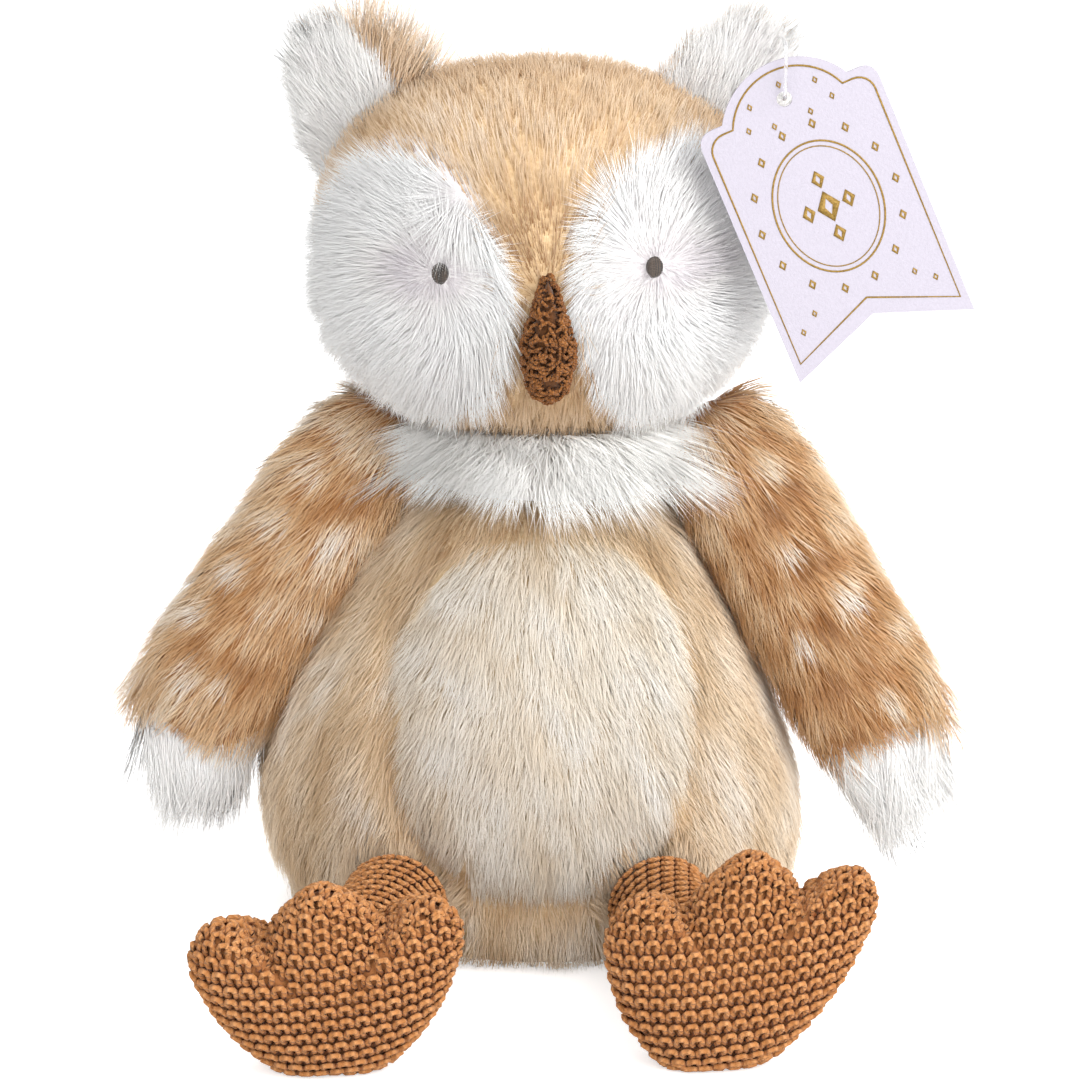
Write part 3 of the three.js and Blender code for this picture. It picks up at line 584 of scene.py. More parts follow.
def add_mesh(name, points, corners, uv=None, normals=None):
    """A mesh of equal polygons from points in millimetres; corners is faces by corners, uv is by point."""
    mesh = bpy.data.meshes.new(name)
    points = np.ascontiguousarray(points, np.float32)
    corners = np.ascontiguousarray(corners, np.int32)
    mesh.vertices.add(len(points))
    mesh.vertices.foreach_set("co", (points * MM).ravel())
    mesh.loops.add(corners.size)
    mesh.loops.foreach_set("vertex_index", corners.ravel())
    mesh.polygons.add(len(corners))
    mesh.polygons.foreach_set("loop_start", np.arange(0, corners.size, corners.shape[1], dtype=np.int32))
    mesh.polygons.foreach_set("use_smooth", np.ones(len(corners), bool))
    if uv is not None:
        layer = mesh.uv_layers.new(name="OFBake")
        layer.data.foreach_set("uv", np.ascontiguousarray(uv[corners.ravel()], np.float32).ravel())
    mesh.update(calc_edges=True)
    if normals is not None:
        mesh.normals_split_custom_set_from_vertices(normals)
    piece = bpy.data.objects.new(name, mesh)
    bpy.context.scene.collection.objects.link(piece)
    return piece


def settle(piece, body, material, nodes=(), bend=None):
    """Gives a piece its finish, hides the part's nodes that it stands for and, without a bend, sets it on its
    body.

    With a bend, a pair of points, the piece's place is baked into its mesh instead and it is set on no body;
    the points change nothing.
    """
    piece.data.materials.append(material)
    if bend is None:
        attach(piece, body)
    else:
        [tuple(point * MM) for point in bend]
        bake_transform(piece)
    if nodes:
        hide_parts(*nodes)
    return piece


def closed_form(name, form, around, along, lowest=FLOOR_GAP):
    """A form's grid of points with a fan of faces to a pole at each end, kept above the lowest height."""
    u, v = np.meshgrid(np.arange(around) / around, np.linspace(0.004, 0.996, along), indexing="xy")
    rings = form(u, v)
    count = around * along
    points = np.concatenate([rings.reshape(-1, 3), [rings[0].mean(0), rings[-1].mean(0)]])
    points[:, 2] = np.maximum(points[:, 2], lowest)
    side = np.arange(around)
    turn = (side + 1) % around
    low = (np.arange(along - 1) * around)[:, None]
    quads = np.stack([low + side, low + turn, low + around + turn, low + around + side], -1).reshape(-1, 4)
    first = np.stack([np.full(around, count), turn, side], -1)
    last = np.stack([np.full(around, count + 1), count - around + side, count - around + turn], -1)
    faces = np.concatenate([halved(quads), first, last])
    uv = np.concatenate([np.stack([u, v], -1).reshape(-1, 2), [[0.5, 0.0], [0.5, 1.0]]])
    return add_mesh(name, points, outward(points, faces), uv)


def halved(quads):
    """Each four-cornered face as two triangles."""
    return np.concatenate([quads[:, [0, 1, 2]], quads[:, [0, 2, 3]]])


def outward(points, faces):
    """The faces, turned over if their summed volume is negative."""
    a, b, c = (points[faces[:, at]] - points.mean(0) for at in range(3))
    volume = (a * np.cross(b, c)).sum()
    return faces if volume > 0 else faces[:, ::-1]


def tubes(name, paths, radius, sides, tone):
    """Closed round tubes of one radius, one along each path of equal count."""
    count, steps = paths.shape[:2]
    tangent = unit(np.gradient(paths, axis=1))
    side = unit(np.cross(np.broadcast_to(UP + 0.31 * BACK, paths.shape), tangent))
    over = np.cross(tangent, side)
    angle = 2 * np.pi * np.arange(sides) / sides
    ring = np.cos(angle)[:, None] * side[:, :, None] + np.sin(angle)[:, None] * over[:, :, None]
    points = paths[:, :, None] + radius * ring
    each = steps * sides
    low = (np.arange(steps - 1) * sides)[:, None]
    here = np.arange(sides)
    turn = (here + 1) % sides
    walls = np.stack([low + here, low + turn, low + sides + turn, low + sides + here], -1).reshape(-1, 4)
    fan = here[1:-1]
    zero = np.zeros(sides - 2, int)
    start = np.stack([zero, fan + 1, fan], -1)
    end = np.stack([zero, fan, fan + 1], -1) + each - sides
    faces = np.concatenate([halved(walls), start, end])
    faces = (faces[None] + (np.arange(count) * each)[:, None, None]).reshape(-1, 3)
    run = np.broadcast_to(np.linspace(0, 1, steps)[None, :, None], (count, steps, sides))
    wrap = np.broadcast_to(np.abs(2 * here / sides - 1)[None, None], (count, steps, sides))
    uv = UV_MARGIN + UV_SPAN * np.stack(np.broadcast_arrays(0.9 * tone[:, None, None] + 0.1 * wrap, run), -1)
    points = points.reshape(-1, 3)
    points[:, 2] = np.maximum(points[:, 2], FLOOR_GAP)
    return add_mesh(name, points, faces, uv.reshape(-1, 2))


# Pile


def scramble(cells, seed):
    """Three numbers from 0 to 1 for each whole-numbered cell, from the tail of a large sine."""
    mix = np.stack([
        cells @ np.array([127.1, 311.7, 74.7]),
        cells @ np.array([269.5, 183.3, 246.1]),
        cells @ np.array([113.5, 271.9, 124.6]),
    ], -1)
    return np.mod(np.sin(mix + seed * 0.37) * 43758.5453, 1.0)


def lock_of(place, size, seed):
    """The nearest of one scattered point in each cube of this size, and three numbers of that lock."""
    cell = np.floor(place / size)
    nearest = np.full(len(place), np.inf)
    centre = np.zeros_like(place)
    chance = np.zeros_like(place)
    for step in itertools.product((-1, 0, 1), repeat=3):
        corner = cell + np.array(step)
        drawn = scramble(corner, seed)
        spot = (corner + drawn) * size
        gap = np.linalg.norm(spot - place, axis=1)
        closer = gap < nearest
        nearest[closer] = gap[closer]
        centre[closer] = spot[closer]
        chance[closer] = scramble(corner[closer], seed + 11)
    return centre, chance


def scatter(form, count, weight, seed, trials=5):
    """Random places on a form, each as likely as its patch of area times the weight there."""
    rng = np.random.default_rng(seed)
    u, v = rng.uniform(0.001, 0.999, (2, count * trials))
    place = form(u, v)
    chance = weight(place, u, v)
    inside = chance > 0.01
    if inside.sum() < 1.2 * count:
        raise ValueError(f"only {inside.sum()} places for {count} strands")
    u, v, place, chance = u[inside], v[inside], place[inside], chance[inside]
    step = 1e-3
    across = form(u + step, v) - place
    over = form(u, np.minimum(v + step, 1.0)) - place
    normal = np.cross(across, over)
    area = np.linalg.norm(normal, axis=1)
    share = np.log(area * chance + TINY) + rng.gumbel(size=len(u))
    kept = np.argpartition(-share, count)[:count]
    normal = unit(normal[kept])
    return place[kept], normal * np.sign(dot(normal, place[kept] - place.mean(0))), u[kept], v[kept]


def pile(name, root, normal, flow, length, tone, seed, radius=0.2, lift=28.0, bend=0.5,
         lock=4.0, pull=0.45, stray=9.0, droop=0.0, rings=2, softness=0.92, spread=0.05, ragged=0.4,
         glow=0.0):
    """Strands laid along the flow: each rises by its lift, bends down and leans to its lock's middle.

    A point at t along a strand is root + length (f (t cos a + t^2 (1 - cos a) / 2) + n sin a (t - bend t^2)),
    plus pull t^1.5 of the way to the lock's middle, less droop length t^2 upwards. Shading follows the
    normal with glow added to it.
    """
    rng = np.random.default_rng(seed)
    count = len(root)
    middle, chance = lock_of(root, lock, seed)
    flow = unit(flow - normal * dot(flow, normal))
    swing = np.radians(stray) * (rng.normal(size=count) + 2.2 * (chance[:, 0] - 0.5))[:, None]
    flow = flow * np.cos(swing) + np.cross(normal, flow) * np.sin(swing)
    side = np.cross(normal, flow)
    length = length * rng.uniform(0.75, 1.15, count) * (1.0 + ragged * (chance[:, 1] - 0.5))
    rise = np.minimum(np.radians(lift) * np.clip(rng.normal(1.0, 0.3, count), 0.2, 2.0), np.pi / 2)
    t = np.linspace(0, 1, rings + 1)[None, :, None]
    size = length[:, None, None]
    sine, cosine = np.sin(rise)[:, None, None], np.cos(rise)[:, None, None]
    lean = middle - root
    lean = lean - normal * dot(lean, normal)
    path = root[:, None] + size * (
        flow[:, None] * (cosine * t + (1 - cosine) * t ** 2 / 2)
        + normal[:, None] * sine * (t - bend * t ** 2)
        + side[:, None] * rng.normal(0, 0.06, count)[:, None, None] * t ** 2
    )
    path = path + pull * lean[:, None] * t ** 1.5 - UP * droop * size * t ** 2
    tangent = unit(np.gradient(path, axis=1))
    over = unit(np.cross(tangent, np.broadcast_to(side[:, None], path.shape)))
    angle = np.pi / 2 + 2 * np.pi * np.arange(3) / 3
    ring = np.cos(angle)[:, None] * side[:, None, None] + 0.6 * np.sin(angle)[:, None] * over[:, :, None]
    thick = radius * rng.uniform(0.8, 1.25, count)[:, None] * (1 - 0.6 * t[0, :, 0] ** 1.5)
    body = path[:, :-1, None] + thick[:, :-1, None, None] * ring[:, :-1]
    points = np.concatenate([body.reshape(count, -1, 3), path[:, -1:]], 1)
    soft = softness * (1 - 0.3 * t[:, :-1, :, None])
    shade = np.concatenate([
        (soft * (normal + glow)[:, None, None] + (1 - soft) * ring[:, :-1]).reshape(count, -1, 3),
        (normal + glow)[:, None] + tangent[:, -1:],
    ], 1)
    each = 3 * rings + 1
    faces = [(0, 2, 1)]
    for step in range(rings - 1):
        for corner in range(3):
            a, b = 3 * step + corner, 3 * step + (corner + 1) % 3
            faces += [(a, b, b + 3), (a, b + 3, a + 3)]
    faces += [(each - 4 + corner, each - 4 + (corner + 1) % 3, each - 1) for corner in range(3)]
    faces = (np.array(faces)[None] + (np.arange(count) * each)[:, None, None]).reshape(-1, 3)
    tone = np.clip(tone + spread * (rng.normal(0, 0.6, count) + 2.0 * (chance[:, 2] - 0.5)), 0.01, 0.97)
    across = np.append(np.tile((0.0, 0.01, 0.02), rings), 0.01)
    run = np.append(np.repeat(t[0, :-1, 0], 3), 1.0)
    uv = np.stack([tone[:, None] + across, np.broadcast_to(UV_MARGIN + UV_SPAN * run, (count, each))], -1)
    points = points.reshape(-1, 3)
    points[:, 2] = np.maximum(points[:, 2], FLOOR_GAP)
    return add_mesh(name, points, faces, uv.reshape(-1, 2), unit(shade.reshape(-1, 3)).tolist())


def mottle(place, size, seed):
    """A soft random field from -1 to 1: six sines of mixed direction, whose wavelength is near size."""
    rng = np.random.default_rng(seed)
    waves = rng.normal(0, 2 * np.pi / size, (6, 3)) * 0.6
    return np.sin(place @ waves.T + rng.uniform(0, 2 * np.pi, 6)).mean(1) * 2.0


# Finishes


class Socket:
    """A shader output on which Python sums add Math nodes."""

    def __init__(self, shader, output):
        self.shader = shader
        self.output = output

    def math(self, operation, *values):
        return self.shader.node("ShaderNodeMath", {"operation": operation}, dict(enumerate(values)))

    def __add__(self, other):
        return self.math("ADD", self, other)

    def __radd__(self, other):
        return self.math("ADD", other, self)

    def __rsub__(self, other):
        return self.math("SUBTRACT", other, self)

    def __mul__(self, other):
        return self.math("MULTIPLY", self, other)

    def __rmul__(self, other):
        return self.math("MULTIPLY", other, self)

    def __pow__(self, other):
        return self.math("POWER", self, other)

    def sine(self):
        return self.math("SINE", self)

    def clamp(self):
        return self.math("MINIMUM", self.math("MAXIMUM", self, 0.0), 1.0)


class Finish:
    """A material whose nodes are added one call at a time, ending in one Principled shader."""

    def __init__(self, name, **fixed):
        self.material = bpy.data.materials.new(name)
        self.material.use_nodes = True
        self.tree = self.material.node_tree
        self.shader = self.tree.nodes["Principled BSDF"]
        for socket, value in fixed.items():
            self.shader.inputs[socket.replace("_", " ")].default_value = value

    def node(self, kind, settings=None, inputs=None, output=0):
        made = self.tree.nodes.new(kind)
        for key, value in (settings or {}).items():
            if key == "stops":
                ramp = made.color_ramp
                while len(ramp.elements) < len(value):
                    ramp.elements.new(0.5)
                for element, (at, colour) in zip(ramp.elements, value):
                    element.position = at
                    element.color = (*colour, 1.0)
            else:
                setattr(made, key, value)
        for key, value in (inputs or {}).items():
            if isinstance(value, Socket):
                self.tree.links.new(value.output, made.inputs[key])
            else:
                made.inputs[key].default_value = value
        return Socket(self, made.outputs[output])

    def feed(self, socket, value):
        self.tree.links.new(value.output, self.shader.inputs[socket])

    def uv(self):
        place = self.node("ShaderNodeUVMap", {"uv_map": "OFBake"})
        split = self.tree.nodes.new("ShaderNodeSeparateXYZ")
        self.tree.links.new(place.output, split.inputs[0])
        return Socket(self, split.outputs[0]), Socket(self, split.outputs[1])

    def place(self):
        return self.node("ShaderNodeTexCoord", output="Object")

    def noise(self, scale, detail=3.0, roughness=0.5):
        return self.node(
            "ShaderNodeTexNoise", None,
            {"Vector": self.place(), "Scale": scale, "Detail": detail, "Roughness": roughness},
        )

    def ramp(self, factor, stops):
        return self.node("ShaderNodeValToRGB", {"stops": stops}, {"Fac": factor})

    def mix(self, factor, first, second, blend="MIX"):
        return self.node(
            "ShaderNodeMix", {"data_type": "RGBA", "blend_type": blend},
            {0: factor, 6: first, 7: second}, output=2,
        )

    def bump(self, height, distance, strength=1.0):
        self.feed("Normal", self.node(
            "ShaderNodeBump", None, {"Height": height, "Distance": distance, "Strength": strength},
        ))


def even_stops(codes):
    """Colours set evenly along a ramp."""
    return [(at / (len(codes) - 1), tint(code)) for at, code in enumerate(codes)]


def pile_finish(name, codes, root_shade, sheen=0.06):
    """Pile: the ramp runs over the strands' tones, and each strand darkens to its root."""
    finish = Finish(name, Roughness=0.75, Sheen_Weight=sheen, Sheen_Roughness=0.4, Specular_IOR_Level=0.12,
                    Subsurface_Weight=0.2, Subsurface_Radius=(0.002, 0.0018, 0.0016), Subsurface_Scale=1.0)
    tone, run = finish.uv()
    colour = finish.ramp(tone, even_stops(codes))
    rise = finish.ramp(run, [(0.0, tint(root_shade)), (0.55, (1.0, 1.0, 1.0)), (1.0, (1.0, 1.0, 1.0))])
    finish.feed("Base Color", finish.mix(1.0, colour, rise, "MULTIPLY"))
    return finish.material


def backing_finish(name, light, dark):
    """Backing cloth under the pile: two near colours in fine clumps, with a soft nap."""
    finish = Finish(name, Roughness=0.95, Sheen_Weight=0.2, Specular_IOR_Level=0.15)
    clumps = finish.noise(900.0, 4.0)
    finish.feed("Base Color", finish.ramp(clumps, [(0.3, tint(dark)), (0.7, tint(light))]))
    finish.bump(clumps, 0.0004, 0.6)
    return finish.material


def yarn_finish(name, codes, shade):
    """Two-ply yarn: turns of the plies along each strand, fine fibres, and painted shade in the grooves
    between the plies and on the ends that go under.
    """
    finish = Finish(name, Roughness=0.9, Sheen_Weight=0.08, Sheen_Roughness=0.5, Specular_IOR_Level=0.12)
    tone, run = finish.uv()
    fibres = finish.noise(2600.0, 4.0, roughness=0.7)
    patch = finish.noise(160.0, 2.0)
    # Painted shade: the yarn darkens towards each end, where it goes under
    ends = (4.0 * run * (1.0 - run)).clamp() ** 0.7
    # The grooves between the plies are darker in the colour as well as in the bump: painted shade
    groove = 0.5 + 0.5 * (tone * 65.0 + run * 39.0).sine()
    blend = (0.3 * fibres + 0.25 * patch + 0.2 * tone + 0.25 * groove).clamp()
    colour = finish.ramp(blend, even_stops(codes))
    shaded = finish.mix(1.0, colour, (*tint(shade), 1.0), "MULTIPLY")
    finish.feed("Base Color", finish.mix(ends, shaded, colour))
    finish.bump(groove + 0.5 * fibres, 0.0005, 1.0)
    return finish.material


def cloth_finish(name, light, dark):
    """Short-napped cloth: a fine noise of nap over larger patches of tone."""
    finish = Finish(name, Roughness=0.95, Sheen_Weight=0.25, Specular_IOR_Level=0.15)
    nap = finish.noise(1400.0, 4.0, roughness=0.7)
    patch = finish.noise(70.0, 2.0)
    finish.feed("Base Color", finish.ramp(
        0.6 * nap + 0.4 * patch, [(0.35, tint(dark)), (0.65, tint(light))],
    ))
    finish.bump(nap, 0.0005, 0.5)
    return finish.material


# Settings


class OwlPlushSettings(bpy.types.PropertyGroup):
    body_pile: bpy.props.FloatProperty(
        name="Body pile", description="Length of the pile on the body", default=0.0125, unit="LENGTH")
    forehead_pile: bpy.props.FloatProperty(
        name="Forehead pile", description="Length of the pile on the forehead and crown", default=0.0098,
        unit="LENGTH")
    disc_pile: bpy.props.FloatProperty(
        name="Disc pile", description="Length of the pile on the face discs", default=0.0155, unit="LENGTH")
    collar_pile: bpy.props.FloatProperty(
        name="Collar pile", description="Length of the locks of the collar", default=0.0215, unit="LENGTH")
    ear_pile: bpy.props.FloatProperty(
        name="Ear pile", description="Length of the pile on the ears", default=0.0125, unit="LENGTH")
    wing_pile: bpy.props.FloatProperty(
        name="Wing pile", description="Length of the pile on the wings", default=0.012, unit="LENGTH")
    tip_pile: bpy.props.FloatProperty(
        name="Wing tip locks", description="Length of the white locks at the wings' ends", default=0.029,
        unit="LENGTH")
    strand: bpy.props.FloatProperty(
        name="Strand", description="Half the width of a strand of pile", default=0.0001, unit="LENGTH")


class OwlCrochetSettings(bpy.types.PropertyGroup):
    stitch_width: bpy.props.FloatProperty(
        name="Stitch width", description="Distance from stitch to stitch along a row", default=0.0040,
        unit="LENGTH")
    stitch_height: bpy.props.FloatProperty(
        name="Stitch height", description="Distance from row to row", default=0.0037, unit="LENGTH")
    yarn: bpy.props.FloatProperty(
        name="Yarn", description="Half the thickness of the yarn", default=0.0008, unit="LENGTH")
    yarn_colour: bpy.props.FloatVectorProperty(
        name="Yarn colour", description="Colour of the hollows between stitches", default=tint("#A36A3E"),
        subtype="COLOR", min=0.0, max=1.0)


class OwlTagSettings(bpy.types.PropertyGroup):
    card_colour: bpy.props.FloatVectorProperty(
        name="Card", description="Colour of the hang tag", default=tint("#B2ADB8"), subtype="COLOR",
        min=0.0, max=1.0)
    line_width: bpy.props.FloatProperty(
        name="Line width", description="Width of the gold lines", default=0.0005, unit="LENGTH")
    line_inset: bpy.props.FloatProperty(
        name="Line inset", description="Distance from the card's edge to the gold line", default=0.0021,
        unit="LENGTH")


class OwlStageSettings(bpy.types.PropertyGroup):
    distance: bpy.props.FloatProperty(
        name="Camera distance", description="Distance from the camera to the owl", default=0.9, unit="LENGTH")
    floor_colour: bpy.props.FloatVectorProperty(
        name="Floor", description="Colour of the floor and backdrop", default=(0.9, 0.9, 0.9),
        subtype="COLOR", min=0.0, max=1.0)


class Pieces:
    """What the operators share: the settings as millimetres."""

    @staticmethod
    def plush(context, name):
        return getattr(context.scene.owl_plush, name) / MM

    @staticmethod
    def crochet(context, name):
        return getattr(context.scene.owl_crochet, name) / MM


# Torso


class OWL_OT_body(bpy.types.Operator):
    """Body: a stuffed backing, tan pile in three panels and the seat cloth"""

    bl_idname = "owl.body"
    bl_label = "Body"

    def execute(self, context):
        length, strand = Pieces.plush(context, "body_pile"), Pieces.plush(context, "strand")
        backing = closed_form("body_backing", body_backing, 96, 60)
        cloth = backing_finish("Body backing", "#DCC29C", "#BE9E76")
        settle(backing, "torso", cloth, ["body_skin"])
        finish = pile_finish("Tan pile", ["#B8956F", "#DAB992", "#F0D7B7", "#FDF1E1"], "#E3CFB6")
        panels = {
            "body_left_pile": (14700, 1.0, lambda x, y: (y < BACK_PANEL) & (x < TUMMY_CENTRE[0]), 1),
            "body_right_pile": (14700, 1.0, lambda x, y: (y < BACK_PANEL) & (x >= TUMMY_CENTRE[0]), 2),
            "body_back_pile": (7000, 2.2, lambda x, y: y >= BACK_PANEL, 3),
        }
        for name, (count, broad, inside, seed) in panels.items():
            def weight(place, u, v):
                return inside(place[:, 0], place[:, 1]) * (tummy_like(place) > 0.96) * (v > 0.01) * (v < 0.95)
            root, normal, u, v = scatter(body_backing, count, weight, seed, 20)
            x = (root[:, 0] - BODY_LEAN) / (BODY_WIDTH / 2)
            flow = np.stack([0.6 * x, 0.0 * x, -np.ones(count)], -1)
            low, high = fade(root[:, 2], *LOW_BODY), ease(root[:, 2], *HIGH_BODY)
            reach = tummy_like(root)
            tone = 0.5 + 0.22 * mottle(root * DOWNWARD_SHARES, BODY_PATCHES[0], 5)
            tone = tone + 0.1 * mottle(root, BODY_PATCHES[1], 6)
            # Painted shade: darker along the tummy's seam over the upper body
            tone = tone - 0.3 * high * np.exp(-((reach - 1.06) / 0.1) ** 2)
            tone = tone + 0.25 * low * np.exp(-((reach - 1.2) / 0.12) ** 2)
            # Painted light: lighter on the right side and over the upper body
            tone = tone + 0.16 * ease(root[:, 0], *BODY_PAINTED_LIGHT) + 0.1 * high
            fur = pile(name, root, normal, flow, length, tone, seed, radius=strand * broad,
                       lift=21.0, lock=LOCK, pull=0.22)
            settle(fur, "torso", finish)
        for seed, (name, plan) in enumerate(LEGS.items(), 11):
            hip, ankle, along = leg_line(plan)
            def brow_weight(place, u, v):
                away = place - hip
                gap = np.linalg.norm(away - along * dot(away, along), axis=1)
                ring = np.exp(-((gap - BROW_REACH) / BROW_WIDTH) ** 2)
                return ring * (away[:, 2] > BROW_LOWEST) * (place[:, 1] < 0)
            root, normal, u, v = scatter(body_backing, 1400, brow_weight, seed, 700)
            away = root - hip
            inward = unit(along * dot(away, along) - away)
            tone = np.full(len(root), 0.5)
            fur = pile(f"{name}_leg_brow", root, normal, inward - 0.3 * UP, length * 0.9, tone, seed,
                       radius=strand, lift=66.0, bend=0.3, lock=SMALL_LOCK, pull=0.3, droop=0.25)
            settle(fur, "torso", finish)
        seat = closed_form("base_cloth", seat_form, 72, 6)
        cloth = cloth_finish("Base cloth", "#D6BE99", "#BFA27B")
        settle(seat, "torso", cloth, ["base_panel"])
        return {"FINISHED"}


def tummy_like(place):
    """The tummy's reach in front, and a large number behind."""
    return tummy_reach(place) + FAR * (place[..., 1] > 0)


def seat_form(u, v):
    """A flat oval disc under the body, a millimetre thick, with a rounded rim."""
    angle = 2 * np.pi * u
    spread = np.sqrt(np.maximum(1 - (2 * v - 1) ** 6, 0.0))
    return np.stack([
        SEAT_HALF[0] * spread * np.cos(angle),
        SEAT_HALF[1] * spread * np.sin(angle),
        FLOOR_GAP + SEAT_THICKNESS * v,
    ], -1)


class OWL_OT_tummy(bpy.types.Operator):
    """Tummy panel: cream pile that hangs down from the collar"""

    bl_idname = "owl.tummy"
    bl_label = "Tummy"

    def execute(self, context):
        length, strand = Pieces.plush(context, "body_pile"), Pieces.plush(context, "strand")
        def weight(place, u, v):
            return tummy_like(place) <= 0.93
        root, normal, u, v = scatter(body_backing, 14000, weight, 21, 30)
        x = (root[:, 0] - TUMMY_CENTRE[0]) / TUMMY_HALF[0]
        flow = np.stack([0.3 * x, 0.0 * x, -np.ones(len(x))], -1)
        tone = 0.66 + 0.18 * mottle(root * DOWNWARD_SHARES, TUMMY_PATCH, 22)
        # Painted shade: darker towards the tummy's seam
        tone = tone - 0.2 * ease(tummy_like(root), 0.75, 1.0)
        fur = pile("tummy_pile", root, normal, flow, length, tone, 21, radius=strand, lift=22.0, lock=LOCK,
                   pull=0.24)
        finish = pile_finish("Cream pile", ["#D2BA98", "#EAD7BD", "#F6EBDA", "#FDF8F0"], "#EADFCF")
        settle(fur, "torso", finish, ["tummy_panel"])
        return {"FINISHED"}


class OWL_OT_collar(bpy.types.Operator):
    """Collar: a white neck with long pointed locks that fan out over the shoulders"""

    bl_idname = "owl.collar"
    bl_label = "Collar"

    def execute(self, context):
        length, strand = Pieces.plush(context, "collar_pile"), Pieces.plush(context, "strand")
        neck = closed_form("neck_backing", lambda u, v: neck_form(u, v, -BACKING_DEPTH), 64, 12)
        settle(neck, "torso", backing_finish("White backing", "#EDE9E6", "#D9D2D0"))
        def weight(place, u, v):
            return np.where(place[:, 1] < COLLAR_FRONT, 2.4, 1.0) * (v > 0.35) * (v < 0.79)
        root, normal, u, v = scatter(neck_form, 11500, weight, 31)
        out = unit(root * (ACROSS + BACK))
        aside = np.abs(out[:, :1])
        steep = (0.72 - 0.42 * aside ** 2) * (1.6 - 2.1 * v[:, None])
        flow = unit(out * 0.8 - UP * steep)
        length = length * (0.7 + 0.32 * aside[:, 0] ** 2)
        facing = unit(out * steep + UP * 0.8)
        tone = 0.9 + 0.1 * mottle(root, COLLAR_PATCH, 32)
        fur = pile("collar_pile", root, facing, flow, length, tone, 31, radius=strand * 1.3, lift=12.0,
                   bend=0.8, lock=COLLAR_LOCK, pull=0.85, stray=17.0, droop=0.1, ragged=0.75, glow=out * 1.2)
        finish = pile_finish("Collar pile", ["#D6CBC4", "#F2EBE3", "#FCF8F2", "#FFFEFA"], "#F0E9E3", 0.25)
        settle(fur, "torso", finish, ["neck_ruff"])
        def upper(place, u, v):
            return (v > 0.72) * (v < 0.99)
        root, normal, u, v = scatter(neck_form, 1800, upper, 33)
        flow = unit(root * (ACROSS + BACK)) * 0.3 - UP
        fur = pile("neck_pile", root, normal, flow, length.mean() * 0.35, np.full(len(root), 0.85), 33,
                   radius=strand * 3.0, lift=22.0, lock=SMALL_LOCK, pull=0.2)
        settle(fur, "torso", finish)
        return {"FINISHED"}


def white_pile():
    """White pile with a cool shade at its roots, made once."""
    made = bpy.data.materials.get("White pile")
    return made or pile_finish("White pile", ["#CBC3CC", "#ECE7E8", "#FBF9F6", "#FFFFFE"], "#F1EDEE", 0.25)


# Head


class OWL_OT_head(bpy.types.Operator):
    """Head: a stuffed backing, tan pile on forehead, crown, chin and back"""

    bl_idname = "owl.head"
    bl_label = "Head"

    def execute(self, context):
        length, strand = Pieces.plush(context, "forehead_pile"), Pieces.plush(context, "strand")
        backing = closed_form("head_backing", head_backing, 96, 64)
        settle(backing, "head", head_backing_finish(), ["head_skin"])
        finish = pile_finish("Forehead pile", ["#A8835F", "#CCA983", "#E2C5A3", "#F3DEC6"], "#DFC8AC")
        layers = (("forehead_pile", 14500, 41, True), ("nape_pile", 6000, 42, False))
        for name, count, seed, in_front in layers:
            def weight(place, u, v):
                outside = (disc_roots(place, -1) > DISC_ROOTS) & (disc_roots(place, 1) > DISC_ROOTS)
                return outside * ((place[:, 1] < NAPE) == in_front) * (v > 0.06)
            root, normal, u, v = scatter(head_backing, count, weight, seed, 16)
            x, y, z = root.T
            below, ahead = z < CHIN, y < 0
            behind = ease(y, *HEAD_BEHIND)
            flow = np.stack([
                np.where(below, 0.4, 0.75) * (x - BEAK_CENTRE) * (1 - 0.5 * behind),
                np.where(below, 0.0, FOREHEAD_SPREAD),
                np.where(below, -CHIN_DROP, z - FOREHEAD_PARTING) * (1 - behind) - NAPE_DROP * behind,
            ], -1)
            parting = np.hypot(x - BEAK_CENTRE, z - BEAK_TOP - BEAK_PARTING_RISE)
            tone = 0.55 + 0.2 * mottle(root, HEAD_PATCHES[0], 43) + 0.08 * mottle(root, HEAD_PATCHES[1], 44)
            shade = 0.04 * fade(z, *CHIN_SHADE) + 0.42 * fade(parting, *BEAK_SHADE)
            tone = tone - (shade + 0.12 * fade(z, *CHEEK_SHADE)) * ahead
            # Painted light: lighter on the left of the forehead
            tone = tone + 0.15 * ease(-x, *LEFT_PAINTED_LIGHT) * ahead
            reach = length * np.where(below & ahead, 1.2, 1.0)
            reach = reach * (1.0 - 0.35 * ahead * np.exp(-((z - BEAK_TOP_PILE) / BEAK_TOP_BAND) ** 2))
            width = strand * (1.0 if in_front else 2.3)
            fur = pile(name, root, normal, flow, reach, tone, seed, radius=width, lift=24.0, lock=SMALL_LOCK,
                       pull=0.28, stray=5.0, spread=0.08)
            settle(fur, "head", finish)
        return {"FINISHED"}


def head_backing_finish():
    """Tan cloth that turns white under the face discs."""
    finish = Finish("Head backing", Roughness=0.95, Sheen_Weight=0.2, Specular_IOR_Level=0.15)
    clumps = finish.noise(900.0, 4.0)
    colour = finish.ramp(clumps, [(0.3, tint("#C9A67B")), (0.7, tint("#E3C59C"))])
    white = finish.ramp(clumps, [(0.3, tint("#DDD6DA")), (0.7, tint("#F6F3F2"))])
    for side in (-1, 1):
        local = finish.node("ShaderNodeMapping", {"vector_type": "TEXTURE"}, {
            "Vector": finish.place(),
            "Location": (side * DISC_CENTRE[0] * MM, -HEAD_SIZE[1] * MM / 2, DISC_CENTRE[1] * MM),
            "Rotation": (0.0, math.radians(side * DISC_TILT), 0.0),
            "Scale": (DISC_HALF[0] * MM, 0.7 * HEAD_SIZE[1] * MM, DISC_HALF[1] * MM),
        })
        reach = finish.node("ShaderNodeVectorMath", {"operation": "LENGTH"}, {0: local}, output=1)
        inside = finish.ramp(reach, [(0.82, (1.0, 1.0, 1.0)), (0.92, (0.0, 0.0, 0.0))])
        colour = finish.mix(inside, colour, white)
    finish.feed("Base Color", colour)
    finish.bump(clumps, 0.0004, 0.6)
    return finish.material


